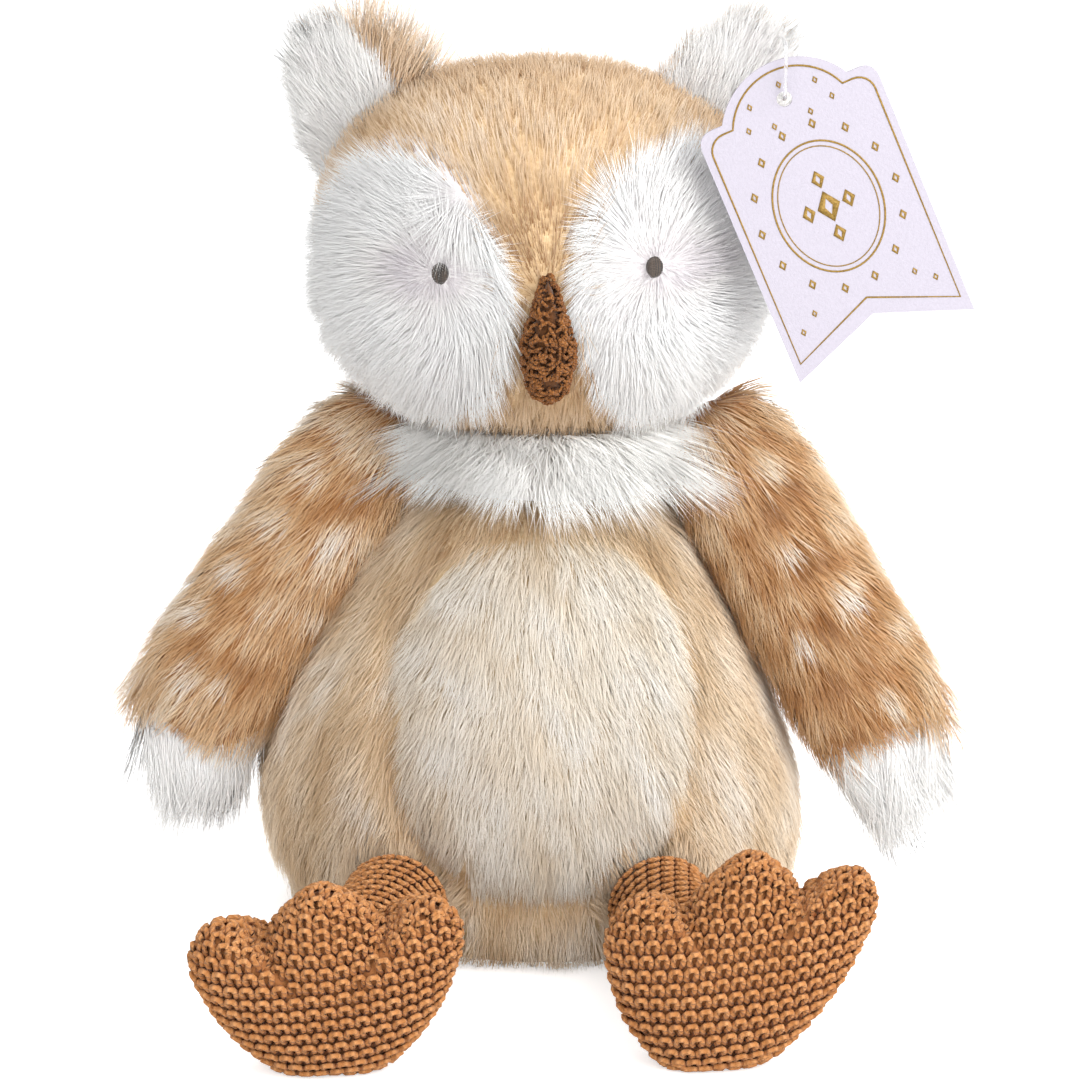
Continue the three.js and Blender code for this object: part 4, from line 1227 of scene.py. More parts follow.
class OWL_OT_discs(bpy.types.Operator):
    """Face discs: long white pile that parts near each eye and fans out"""

    bl_idname = "owl.discs"
    bl_label = "Face discs"

    def execute(self, context):
        length, strand = Pieces.plush(context, "disc_pile"), Pieces.plush(context, "strand")
        discs = (
            ("left", -1.0, LEFT_EYE, LEFT_PARTING, -0.12, 2.2, 51),
            ("right", 1.0, RIGHT_EYE, RIGHT_PARTING, 0.35, 1.0, 52),
        )
        for name, side, eye, parting, trim, comb, seed in discs:
            hollow = head_front(np.array(eye[0]), np.array(eye[1]))
            def weight(place, u, v):
                gap = np.linalg.norm(place - hollow, axis=1)
                return (disc_roots(place, side) <= DISC_ROOTS) * (gap > EYE_GAP)
            root, normal, u, v = scatter(head_backing, 13500, weight, seed, 60)
            x, y, z = root.T
            backward = np.full(len(root), DISC_BACKWARD)
            flow = np.stack([x - parting[0], backward, z - parting[1] - DISC_RISE], -1)
            near = np.linalg.norm(root - hollow, axis=1)
            away = np.stack([x - eye[0], 0 * near, z - eye[1]], -1)
            close = fade(near, *EYE_FAN)[:, None]
            flow = unit(flow) * (1 - close) + unit(away) * close
            tilt = math.radians(side * DISC_TILT)
            aside = (x - side * DISC_CENTRE[0]) * math.cos(tilt) - (z - DISC_CENTRE[1]) * math.sin(tilt)
            combed = ease(-side * aside / DISC_HALF[0], 0.25, 0.65) * fade(z, *DISC_BROW) * (1 - close[:, 0])
            flow = unit(flow + combed[:, None] * comb * np.array([-side * 0.45, 0.0, -1.0]))
            inner = ease(-side * (x - parting[0]), *DISC_INNER)
            reach = length * (0.3 + 0.7 * ease(near, *EYE_SHORT)) * (1.0 - trim * inner)
            hollow_reach = np.hypot((x - eye[0] - side * HOLLOW_ASIDE) / 1.5, z - eye[1])
            # Painted shade: darker in the hollow round the eye, centred a little to its outer side
            tone = 0.88 + 0.08 * mottle(root, DISC_PATCH, seed) - 0.62 * fade(hollow_reach, *HOLLOW_SHADE)
            fur = pile(f"{name}_disc_pile", root, normal, flow, reach, tone, seed, radius=strand, lift=22.0,
                       bend=0.5, lock=LOCK, pull=0.22, stray=6.0)
            settle(fur, "head", white_pile(), [f"{name}_face_disc"])
        return {"FINISHED"}


class OWL_OT_ears(bpy.types.Operator):
    """Ears: flat pillows with long white pile in front and tan pile behind"""

    bl_idname = "owl.ears"
    bl_label = "Ears"

    def execute(self, context):
        length, strand = Pieces.plush(context, "ear_pile"), Pieces.plush(context, "strand")
        backing_cloth = backing_finish("Ear backing", "#EDE9E6", "#D9D2D0")
        for name, side, seed in (("left", -1.0, 61), ("right", 1.0, 62)):
            form = ear_form(side, -EAR_BACKING_DEPTH)
            backing = closed_form(f"{name}_ear_backing", form, 40, 24)
            settle(backing, "head", backing_cloth)
            base = ear_base(side)
            halves = {
                "front": (8000, "white_plush", white_pile(), False),
                "back": (3600, "tan_plush", bpy.data.materials["Forehead pile"], True),
            }
            for half, (count, slot, finish, is_back) in halves.items():
                def weight(place, u, v):
                    inner = -side * np.cos(2 * np.pi * u) > (0.62 if side < 0 else 0.3 + 1.2 * v)
                    inner = inner & (v < 0.84)
                    tan = (np.sin(2 * np.pi * u) > 0.2 + 0.5 * ease(v, 0.65, 0.9)) | inner
                    return (tan == is_back) * (v > 0.25) * np.where(is_back & ~inner, 0.7, 1.0)
                root, normal, u, v = scatter(form, count, weight, seed, 12)
                edge = ease(-side * np.cos(2 * np.pi * u), 0.3, 0.9) * is_back * (side < 0)
                flow = root - base + EAR_TUFT_LEAN * edge[:, None] * ACROSS
                tone = 0.68 + 0.12 * mottle(root, EAR_PATCH, seed)
                reach = length * (1.0 + 0.7 * edge)
                fur = pile(f"{name}_ear_{half}_pile", root, normal, flow, reach, tone, seed,
                           radius=strand * 1.1, lift=26.0 + 50.0 * ease(v, 0.86, 1.0),
                           lock=SMALL_LOCK, pull=0.4, softness=0.4)
                settle(fur, "head", finish, [f"{name}_ear_{half}"])
        return {"FINISHED"}


class OWL_OT_eyes(bpy.types.Operator):
    """Eyes: satin stitches of dark thread side by side over a small dome"""

    bl_idname = "owl.eyes"
    bl_label = "Eyes"

    def execute(self, context):
        finish = Finish("Eye thread", Roughness=0.45, Sheen_Weight=0.2, Specular_IOR_Level=0.5)
        tone, run = finish.uv()
        fibres = finish.noise(3000.0, 3.0)
        finish.feed("Base Color", finish.ramp(
            0.6 * tone + 0.4 * fibres, [(0.25, tint("#15100D")), (0.75, tint("#4A3B30"))],
        ))
        finish.bump((run * 60.0 + tone * 30.0).sine() + fibres, 0.00008, 0.6)
        for name, eye, seed in (("left", LEFT_EYE, 71), ("right", RIGHT_EYE, 72)):
            rng = np.random.default_rng(seed)
            facing = head_facing(np.array(eye[0]), np.array(eye[1]))
            seat = head_front(np.array(eye[0]), np.array(eye[1])) - facing * EYE_SINK
            across = unit(np.cross(UP, facing))
            over = np.cross(facing, across)
            threads = 13
            offset = np.linspace(-0.92, 0.92, threads)
            half = np.sqrt(1 - offset ** 2)
            t = np.linspace(-1, 1, 7)
            radius = EYE_DIAMETER / 2 - EYE_THREAD
            along = offset[:, None] * radius * 0.85 + 0 * t
            upward = half[:, None] * t * radius * 1.12 + rng.normal(0, EYE_WAVER, (threads, 1))
            fall = (along ** 2 + upward ** 2) / (radius * 1.25) ** 2
            dome = EYE_THICKNESS * np.sqrt(np.maximum(1 - fall, 0.05))
            paths = seat + along[..., None] * across + upward[..., None] * over + dome[..., None] * facing
            eye_piece = tubes(f"{name}_eye_stitches", paths, EYE_THREAD, 6, rng.uniform(size=threads))
            settle(eye_piece, "head", finish.material, [f"{name}_eye"])
            pad = closed_form(f"{name}_eye_pad", lambda u, v: seat + (
                radius * 0.85 * np.sin(np.pi * v)[..., None] * np.cos(2 * np.pi * u)[..., None] * across
                + radius * 1.08 * np.sin(np.pi * v)[..., None] * np.sin(2 * np.pi * u)[..., None] * over
                + EYE_PAD_DEPTH * np.cos(np.pi * v)[..., None] * facing
            ), 24, 12)
            settle(pad, "head", finish.material)
        return {"FINISHED"}


class OWL_OT_beak(bpy.types.Operator):
    """Beak: a stuffed spindle covered in small curls of looped yarn"""

    bl_idname = "owl.beak"
    bl_label = "Beak"

    def execute(self, context):
        finish = yarn_finish("Looped beak yarn", ["#4A2A13", "#7C4B24", "#A06836", "#C48E58"], "#7A5838")
        core = closed_form("beak_core", lambda u, v: beak_form(u, v, -BEAK_CORE_DEPTH), 32, 24)
        settle(core, "head", cloth_finish("Beak cloth", "#6B421F", "#4A2B14"), ["beak"])
        def weight(place, u, v):
            return (place[:, 1] < BEAK_CURL_FRONT) * 1.0
        root, normal, u, v = scatter(lambda u, v: beak_form(u, v, -BEAK_CURL_DEPTH), 520, weight, 81, 12)
        rng = np.random.default_rng(81)
        flat = unit(np.cross(normal, rng.normal(size=root.shape)))
        t = np.linspace(0, 1, 7)[None, :, None]
        curl = rng.uniform(0.8, 1.35, (len(root), 1, 1))
        sweep = 2 * np.pi * (0.12 + 0.76 * t)
        paths = root[:, None] + curl * (
            flat[:, None] * np.sin(sweep) + normal[:, None] * (0.55 - 0.75 * np.cos(sweep))
            + np.cross(normal, flat)[:, None] * (t - 0.5) * 0.9
        )
        curls = tubes("beak_curls", paths, BEAK_YARN, YARN_SIDES, rng.uniform(size=len(root)))
        settle(curls, "head", finish)
        return {"FINISHED"}


def beak_form(u, v, grow=0.0):
    """A spindle laid on the front of the head, thin above and round below."""
    angle = 2 * np.pi * u
    swell = np.maximum(smooth_curve(v, BEAK_PROFILE[:, 0], BEAK_PROFILE[:, 1]), 0.0)
    centre = head_front(np.full_like(v, BEAK_CENTRE), BEAK_TOP - v * BEAK_LENGTH)
    return centre + np.stack([
        (BEAK_WIDTH / 2 + grow) * swell * np.cos(angle),
        (BEAK_PROUD + grow) * np.sqrt(swell) * np.sin(angle),
        0.0 * angle,
    ], -1)


# Wings


class OWL_OT_wings(bpy.types.Operator):
    """Wings: stuffed backings, brown pile with cream spots and long white locks at the ends"""

    bl_idname = "owl.wings"
    bl_label = "Wings"

    def execute(self, context):
        length, strand = Pieces.plush(context, "wing_pile"), Pieces.plush(context, "strand")
        tip_length = Pieces.plush(context, "tip_pile")
        finish = pile_finish(
            "Wing pile",
            ["#7F5230", "#B07B4B", "#CF9D6A", "#E3BC90", "#F0D6B4", "#F8EBDA", "#FDF8F0"], "#D9B691")
        cloth = backing_finish("Wing backing", "#A87850", "#875A38")
        for seed, (name, plan) in enumerate(WINGS.items(), 91):
            form = wing_form(plan, -WING_BACKING_DEPTH)
            shoulder, along, facing = wing_axis(plan)
            bend = (shoulder - along * WING_REACH_UP, shoulder + along * WING_BEND)
            backing = closed_form(f"{name}_wing_backing", form, 48, 48)
            settle(backing, f"{name}_wing", cloth, bend=bend)
            spots = np.array(plan["spots"])
            heading = downward(plan["side"], WING_TIP_ANGLE, WING_SWEEP)
            for half, count, in_front in (("front", 12000, True), ("back", 2600, False)):
                def weight(place, u, v):
                    return ((dot(place - shoulder, facing)[:, 0] > 0) == in_front) * (v > 0.01)
                root, normal, u, v = scatter(form, count, weight, seed, 10)
                outward_side = unit(np.cross(along, facing)) * plan["side"]
                outward_side = outward_side * np.sign(outward_side[0] * plan["side"])
                rim = dot(root - shoulder, outward_side)[:, 0] / (WING_WIDTH / 2)
                corner = ease(rim, 0.1, 0.9) * ease(v, 0.75, 0.92)
                flow = along + outward_side * ((0.45 * rim + 0.1) * (1.0 - corner))[:, None]
                flow = flow + heading * 1.5 * corner[:, None]
                short = 0.45 * ease(v, 0.84, 0.97) * (1.0 - corner)
                reach = length * (1.0 + plan["corner"] * corner) * (1.0 - short)
                # Painted light: each wing's tone is raised by its share, most on the left wing
                tone = 0.31 + plan["painted_light"] + 0.15 * mottle(root, WING_PATCHES[0], seed)
                tone = tone + 0.08 * mottle(root, WING_PATCHES[1], seed)
                # Lighter towards the outer rim; lighter towards the shoulder is painted light on the wing's
                # top
                tone = tone + 0.2 * ease(rim, 0.3, 1.0) + 0.25 * fade(v, 0.05, 0.2)
                if in_front:
                    base = root + flow * WING_SPOT_DROP
                    aside = base[:, None, 0] - spots[:, 0]
                    gap = np.hypot(aside, base[:, None, 2] - spots[:, 1]) / spots[:, 2]
                    tone = tone - 0.1 * fade(gap.min(1), 1.3, 2.2)
                    tone = tone + (0.8 - tone) * fade(gap.min(1), 0.35, 1.2)
                fur = pile(f"{name}_wing_{half}_pile", root, normal, flow, reach, tone, seed + 10 * in_front,
                           radius=strand * (1.0 if in_front else 2.4), lift=23.0, lock=SMALL_LOCK, pull=0.26,
                           stray=8.0, spread=0.09)
                settle(fur, f"{name}_wing", finish, [f"{name}_wing_{half}"], bend)
            def tip_weight(place, u, v):
                rim = dot(place - shoulder, outward_side)[:, 0] / (WING_WIDTH / 2)
                inside = (np.abs(np.cos(2 * np.pi * u)) < plan["tip_width"]) & (rim < plan["tip_edge"])
                return (v > 0.79) * (v < 0.985) * inside
            root, normal, u, v = scatter(wing_form(plan, -BACKING_DEPTH), 4600, tip_weight, seed + 30, 40)
            rim = dot(root - shoulder, outward_side) / (WING_WIDTH / 2)
            depth = dot(root - shoulder, facing) / (WING_THICKNESS / 2)
            flow = heading + along * plan["tip_lean"] - outward_side * rim * plan["tip_taper"]
            flow = flow - facing * depth * 0.1
            tone = 0.75 + 0.15 * mottle(root, TIP_PATCH, seed)
            reach = tip_length * plan["tip_reach"] * (1.0 + 0.35 * (v - 0.9))
            aside = unit(normal - flow * dot(normal, flow) / dot(flow, flow) + TINY)
            tip = pile(f"{name}_wing_tip_pile", root, aside, flow, reach, tone, seed + 30,
                       radius=strand * 1.5, lift=7.0, bend=1.0, lock=TIP_LOCK, pull=0.65, stray=6.0,
                       rings=3, softness=0.4)
            settle(tip, f"{name}_wing", white_pile(), [f"{name}_wing_tip"])
        return {"FINISHED"}


# Legs and feet


def foot_outline_reach(direction):
    """How far the foot's outline lies from its middle, by direction from it."""
    half = FOOT_OUTLINE * np.array([FOOT_SIZE[0], FOOT_SIZE[2]])
    ring = np.concatenate([half, half[-2:0:-1] * np.array([-1.0, 1.0])])
    curve = closed_curve(ring, 40 * len(ring)) - np.array([0.0, FOOT_MIDDLE * FOOT_SIZE[2]])
    bearing = np.arctan2(curve[:, 1], curve[:, 0])
    order = np.argsort(bearing)
    return np.interp(direction, bearing[order], np.hypot(curve[:, 0], curve[:, 1])[order], period=2 * np.pi)


def foot_fill(place, grow=0.0):
    """Below 0 inside the foot: (y / half depth)^2 + (reach to the outline)^(2 / rim power) - 1."""
    x, z = place[..., 0], place[..., 2] - FOOT_MIDDLE * FOOT_SIZE[2]
    rim = foot_outline_reach(np.arctan2(z, x)) + grow
    reach = np.hypot(x, z) / rim
    depth = (FOOT_SIZE[1] / 2 + grow) * (1 - FOOT_TOE_THINNING * np.maximum(z, 0) / FOOT_SIZE[2])
    return (place[..., 1] / depth) ** 2 + reach ** (2 / FOOT_RIM_POWER) - 1


def foot_form(u, v, grow=0.0):
    """Rings from the sole's crown round the outline to the foot's back."""
    bearing = 2 * np.pi * u
    swing = np.pi * v
    rim = foot_outline_reach(bearing) + grow
    reach = np.sin(swing) ** FOOT_RIM_POWER
    x, z = rim * reach * np.cos(bearing), rim * reach * np.sin(bearing)
    depth = (FOOT_SIZE[1] / 2 + grow) * (1 - FOOT_TOE_THINNING * np.maximum(z, 0) / FOOT_SIZE[2])
    return np.stack([x, -depth * np.cos(swing), z + FOOT_MIDDLE * FOOT_SIZE[2]], -1)


def foot_place(local, plan):
    """Slants, leans and turns a foot and sets its heel down."""
    out = np.array(local, float)
    out[..., 0] = local[..., 0] + plan["skew"] * local[..., 2]
    out = turned(turned(out, "X", plan["tip"]), "Y", -plan["turn"])
    return out + np.array([plan["foot"], HEEL_Y, -HEEL_FLAT])


def foot_rounds(width):
    """Stitch places round the foot at each row: points, row direction and outward direction."""
    places, runs = [], []
    fine = np.linspace(-FOOT_SIZE[0], FOOT_SIZE[0], 1600)
    for row, height in enumerate(FOOT_ROWS):
        inside = foot_fill(np.stack([fine, 0 * fine, np.full_like(fine, height)], -1)) < 0
        edges = np.flatnonzero(np.diff(inside.astype(int)))
        for low, high in zip(edges[::2], edges[1::2]):
            middle, half = (fine[low] + fine[high]) / 2, (fine[high] - fine[low]) / 2
            angle = np.linspace(0, 2 * np.pi, 241)
            x = middle - half * np.cos(angle)
            z = np.full_like(x, height) - FOOT_MIDDLE * FOOT_SIZE[2]
            reach = np.hypot(x, z) / foot_outline_reach(np.arctan2(z, x))
            depth = FOOT_SIZE[1] / 2 * (1 - FOOT_TOE_THINNING * np.maximum(z, 0) / FOOT_SIZE[2])
            bulge = depth * np.sqrt(np.maximum(1 - reach ** (2 / FOOT_RIM_POWER), 0))
            loop = np.stack([x, -np.sign(np.sin(angle)) * bulge, np.full_like(x, height)], -1)
            length = np.append(0, np.cumsum(np.linalg.norm(np.diff(loop, axis=0), axis=1)))
            count = max(int(round(length[-1] / width)), 3)
            at = (np.arange(count) + 0.25 * row) % count * length[-1] / count
            place = np.stack([np.interp(at, length, loop[:, k]) for k in range(3)], -1)
            at = (at + ROUND_STEP) % length[-1]
            ahead = np.stack([np.interp(at, length, loop[:, k]) for k in range(3)], -1)
            places.append(place)
            runs.append(unit(ahead - place))
    place, run = np.concatenate(places), np.concatenate(runs)
    top, across = foot_tops(width)
    place, run = np.concatenate([place, top]), np.concatenate([run, across])
    return place, run, foot_slope(place)


def foot_slope(place):
    """The direction straight out of the foot's surface."""
    return unit(np.stack([
        foot_fill(place + FOOT_SLOPE_STEP * axis) - foot_fill(place - FOOT_SLOPE_STEP * axis)
        for axis in np.eye(3)
    ], -1))


def foot_tops(width):
    """Stitch places on the upper faces of the toes and under the heel, where the rounds lie far apart."""
    x, y = np.meshgrid(
        np.arange(-FOOT_SIZE[0] / 2, FOOT_SIZE[0] / 2, width * 0.9),
        np.arange(-2, 3) * width * 0.8, indexing="ij")
    x, y = x.ravel(), y.ravel()
    ends = []
    for heights, way, least in (
        (np.linspace(FOOT_SIZE[2] + TOE_MARGIN, FOOT_SIZE[2] / 2, 280), 1.0, 0.62),
        (np.linspace(0.0, HEEL_REACH, 61), -1.0, 0.55),
    ):
        filled = foot_fill(np.stack(np.broadcast_arrays(x[:, None], y[:, None], heights), -1)) < 0
        end = np.stack([x, y, heights[filled.argmax(1)]], -1)[filled.any(1)]
        ends.append(end[way * foot_slope(end)[:, 2] > least])
    ends = np.concatenate(ends)
    return ends, np.broadcast_to(ACROSS, ends.shape)


def arches(place, run, up, out, gauge):
    """Crochet stitches: each an arch of yarn with its legs tucked under the row below.

    The gauge is a stitch's width and height and half its yarn's thickness.
    """
    across, over, proud = (STITCH[None, :, at:at + 1] for at in range(3))
    width, height, yarn = gauge
    return place[:, None] + (
        across * width * run[:, None] + over * height * up[:, None] + (proud - 0.5) * yarn * out[:, None]
    )


def foot_arches(place, run, out, gauge):
    """Arches on a foot, with their tops up its surface."""
    up = unit(np.cross(out, run))
    up = up * np.where(up[:, 2:] < 0, -1.0, 1.0)
    return arches(place, unit(np.cross(up, out)), up, out, gauge)


def leg_line(plan):
    """The hip, the ankle and the unit direction between them."""
    hip = np.array([plan["hip"], body_front(plan["hip"], LEG_HEIGHT), LEG_HEIGHT])
    ankle = np.array([plan["foot"], HEEL_Y, LEG_HEIGHT])
    return hip, ankle, unit(ankle - hip)


def leg_form(plan, grow=0.0):
    """A round tube from just inside the body to inside the foot, a little narrower at the ankle."""
    hip, ankle, along = leg_line(plan)
    start = hip + along * LEG_START
    span = np.linalg.norm(ankle - start)

    def form(u, v):
        radius = LEG_DIAMETER / 2 + (ANKLE_DIAMETER - LEG_DIAMETER) / 2 * v + grow
        angle = 2 * np.pi * u
        local = np.stack([radius * np.cos(angle), radius * np.sin(angle), v * span], -1)
        return limb_place(local, start, along, UP)
    return form, span


class OWL_OT_legs(bpy.types.Operator):
    """Legs and feet: stuffed forms covered in rows of crochet stitches"""

    bl_idname = "owl.legs"
    bl_label = "Legs and feet"

    def execute(self, context):
        finish = yarn_finish("Crochet yarn", ["#88532B", "#B37745", "#C98F5C", "#E2B688"], "#93664A")
        under = Finish("Crochet ground", Roughness=0.95, Sheen_Weight=0.2, Specular_IOR_Level=0.15)
        rough = under.noise(700.0, 4.0)
        hollow = tuple(context.scene.owl_crochet.yarn_colour)
        dark = tuple(c * 0.75 for c in hollow)
        under.feed("Base Color", under.ramp(rough, [(0.3, dark), (0.7, hollow)]))
        under.bump(rough, 0.0005, 0.7)
        sizes = ("stitch_width", "stitch_height", "yarn")
        gauge = np.array([Pieces.crochet(context, name) for name in sizes])
        for seed, (name, plan) in enumerate(LEGS.items(), 101):
            rng = np.random.default_rng(seed)
            body = f"{name}_leg"

            def foot_backing(u, v):
                return foot_place(foot_form(u, v, -GROUND_DEPTH), plan)
            ground = closed_form(f"{name}_foot_ground", foot_backing, 120, 40, HEEL_GROUND)
            settle(ground, body, under.material, [f"{name}_foot_cover"])
            place, run, out = foot_rounds(gauge[0])
            paths = foot_place(foot_arches(place, run, out, gauge), plan)
            tone = rng.uniform(size=len(paths))
            stitches = tubes(f"{name}_foot_stitches", paths, gauge[2], YARN_SIDES, tone)
            settle(stitches, body, finish)
            form, span = leg_form(plan, -GROUND_DEPTH)
            hip, ankle, along = leg_line(plan)
            bend = (hip, hip + along * LEG_BEND)
            tube = closed_form(f"{name}_leg_ground", form, 40, 32)
            settle(tube, body, under.material, [f"{name}_leg_cover"], bend)
            skin, span = leg_form(plan)
            fine = gauge * LEG_GAUGE
            rows = int(span / fine[1])
            per_row = int(round(math.pi * LEG_DIAMETER / fine[0]))
            v, u = np.meshgrid((np.arange(rows) + 0.5) / rows, np.arange(per_row) / per_row, indexing="ij")
            u = (u + 0.25 * np.arange(rows)[:, None] / per_row).ravel() % 1.0
            v = v.ravel()
            place = skin(u, v)
            run = unit(skin(u + 0.005, v) - place)
            paths = leg_arches(place, run, along, fine)
            tone = rng.uniform(size=len(paths))
            sleeve = tubes(f"{name}_leg_stitches", paths, fine[2], YARN_SIDES, tone)
            settle(sleeve, body, finish, bend=bend)
        return {"FINISHED"}


def leg_arches(place, run, along, gauge):
    """Arches round a leg, with their tops towards the foot."""
    up = np.broadcast_to(along, run.shape)
    out = unit(np.cross(run, up))
    out = out * np.sign(dot(out, place - place.mean(0)) + TINY)
    return arches(place, run, up, out, gauge)


# Tag


def tag_place(local):
    """Card points, x across and z up from the hole, set down in front of the head."""
    return turned(local, "Y", -TAG_TURN) + TAG_HOLE


def tag_outline(inset):
    """The card's edge drawn in by an inset: domed top, round shoulders and a notched foot."""
    half, side = TAG_WIDTH / 2 - inset, TAG_SIDE - inset * 2.2
    dome, rise = TAG_DOME_WIDTH / 2 - inset, TAG_DOME_RISE
    radius = (dome ** 2 + rise ** 2) / (2 * rise)
    arc = math.asin(min(dome / radius, 1.0))
    angle = np.linspace(math.pi / 2 - arc, math.pi / 2 + arc, 25)
    top = np.stack([radius * np.cos(angle), rise - inset - radius + radius * np.sin(angle)], -1)
    curve = np.linspace(0, math.pi / 2, 7)
    level = half - TAG_SHOULDER_ROUND
    left = np.stack([
        -level - TAG_SHOULDER_ROUND * np.sin(curve), TAG_SHOULDER_ROUND * (np.cos(curve) - 1) - inset,
    ], -1)
    foot = np.array([[-half, -side], [0.0, TAG_NOTCH - side], [half, -side]])
    return np.concatenate([top, left, foot, left[::-1] * np.array([-1.0, 1.0])])


def line_strip(name, line, width):
    """A thin raised gold strip along a closed line on the card's face."""
    ahead = np.roll(line, -1, 0) - line
    behind = line - np.roll(line, 1, 0)
    way = unit(unit(ahead) + unit(behind))
    aside = np.stack([-way[:, 1], way[:, 0]], -1) * width / 2
    face = -TAG_THICKNESS / 2
    rings = []
    for edge, depth in ((-1, PRINT_SUNK), (-1, -PRINT_PROUD), (1, -PRINT_PROUD), (1, PRINT_SUNK)):
        spot = line + edge * aside
        rings.append(np.stack([spot[:, 0], np.full(len(line), face + depth), spot[:, 1]], -1))
    points = tag_place(np.stack(rings, 1).reshape(-1, 3))
    count = len(line)
    step = np.arange(count)
    nxt = (step + 1) % count
    quads = np.concatenate([
        np.stack([4 * step + k, 4 * nxt + k, 4 * nxt + (k + 1) % 4, 4 * step + (k + 1) % 4], -1)
        for k in range(4)
    ])
    return add_mesh(name, points, outward(points, halved(quads)), np.tile([[0.5, 0.5]], (len(points), 1)))


class OWL_OT_tag(bpy.types.Operator):
    """Hang tag: a pressed card with gold lines and dots, on a clear loop"""

    bl_idname = "owl.tag"
    bl_label = "Hang tag"

    def execute(self, context):
        settings = context.scene.owl_tag
        card = Finish("Tag card", Roughness=0.7, Specular_IOR_Level=0.3)
        felt = card.noise(1500.0, 5.0, roughness=0.65)
        base = tuple(settings.card_colour)
        card.feed("Base Color", card.ramp(felt, [(0.3, tuple(c * 0.93 for c in base)), (0.7, base)]))
        card.bump(felt, 0.0003, 0.5)
        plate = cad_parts["hang_tag"]
        plate.data.materials.clear()
        plate.data.materials.append(card.material)
        gold = Finish("Gold print", Roughness=0.5, Metallic=0.4, Specular_IOR_Level=0.4)
        glint = gold.noise(2200.0, 3.0)
        gold.feed("Base Color", gold.ramp(glint, [(0.3, tint("#73591F")), (0.7, tint("#A08040"))]))
        width, inset = settings.line_width / MM, settings.line_inset / MM
        pieces = [line_strip("tag_edge_line", tag_outline(inset), width)]
        angle = np.linspace(0, 2 * np.pi, 60, endpoint=False)
        for name, (across, upward), broad in (
            ("tag_oval_line", TAG_OVAL, 1.0),
            ("tag_inner_oval_line", TAG_INNER_OVAL, 0.6),
        ):
            oval = np.stack([across * np.cos(angle), TAG_MIDDLE + upward * np.sin(angle)], -1)
            pieces.append(line_strip(name, oval, width * broad))
        for number, (x, z, size) in enumerate(tag_marks()):
            corners = TAG_LOZENGE * size + np.array([x, z])
            pieces.append(line_strip(f"tag_mark_{number:02d}", corners, size * 0.8))
        bpy.ops.object.select_all(action="DESELECT")
        for piece in pieces:
            piece.select_set(True)
        bpy.context.view_layer.objects.active = pieces[0]
        bpy.ops.object.join()
        print_piece = pieces[0]
        print_piece.name = "tag_gold_print"
        settle(print_piece, "tag", gold.material)
        clear = Finish("Clear loop", Roughness=0.12, IOR=1.45, Transmission_Weight=0.85)
        clear.feed("Base Color", clear.ramp(clear.noise(300.0), even_stops(["#F4F4F6", "#FFFFFF"])))
        settle(loop_piece(), "head", clear.material, ["tag_loop"])
        return {"FINISHED"}


def tag_marks():
    """Places and sizes of the small lozenges that ring the oval."""
    marks = []
    across, upward = TAG_MARK_RING
    for turn in range(TAG_RING_MARKS):
        angle = 2 * math.pi * turn / TAG_RING_MARKS
        marks.append((across * math.cos(angle), TAG_MIDDLE + upward * math.sin(angle), TAG_RING_MARK))
    return marks + [(x, z, TAG_EDGE_MARK) for x, z in TAG_EDGE_MARKS] + TAG_MIDDLE_MARKS


def loop_piece():
    """A round thread through the hole, over the card's edge and back to the ear."""
    x, y, z = TAG_HOLE
    bow = np.array([
        [x, LOOP_ROOT_Y, z + LOOP_ROOT_RISE],
        [x, (y + LOOP_ROOT_Y) / 2, z + LOOP_WIRE],
        [x, y, z],
        [x, y - LOOP_FRONT, z + LOOP_RISE / 3],
        [x, y - LOOP_FRONT / 2, z + LOOP_RISE],
        [x, (y + LOOP_ROOT_Y) / 2, z + LOOP_RISE],
    ])
    steps, sides = 96, 10
    line = closed_curve(bow, steps)
    way = unit(np.roll(line, -1, 0) - np.roll(line, 1, 0))
    side = np.broadcast_to(ACROSS, way.shape)
    over = np.cross(way, side)
    angle = 2 * np.pi * np.arange(sides) / sides
    points = line[:, None] + LOOP_WIRE / 2 * (
        np.cos(angle)[:, None] * side[:, None] + np.sin(angle)[:, None] * over[:, None]
    )
    step, here = np.meshgrid(np.arange(steps), np.arange(sides), indexing="ij")
    nxt, turn = (step + 1) % steps, (here + 1) % sides
    quads = np.stack([sides * step + here, sides * nxt + here, sides * nxt + turn, sides * step + turn], -1)
    faces = halved(quads.reshape(-1, 4))
    points = points.reshape(-1, 3)
    uv = np.stack([step / steps, here / sides], -1).reshape(-1, 2)
    return add_mesh("tag_loop_thread", points, outward(points, faces), uv)


# Filling


class OWL_OT_filling(bpy.types.Operator):
    """Filling: fibre and the pellet pouch keep the part's forms and get their finishes"""

    bl_idname = "owl.filling"
    bl_label = "Filling"

    def execute(self, context):
        fibre = cloth_finish("Fibre filling", "#FAFAFA", "#E4E4E4")
        pouch = cloth_finish("Pouch cloth", "#EAE4D8", "#D6CDBC")
        for name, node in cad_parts.items():
            if name.endswith("_stuffing") or name == "pellet_pouch":
                node.data.materials.clear()
                node.data.materials.append(fibre if name.endswith("_stuffing") else pouch)
        return {"FINISHED"}


# Stage


def aimed(eye, aim):
    """The turn that makes a camera or a lamp at eye look at aim, upright."""
    way = aim - eye
    return math.atan2(math.hypot(way[0], way[1]), -way[2]), 0.0, math.atan2(way[1], way[0]) - math.pi / 2


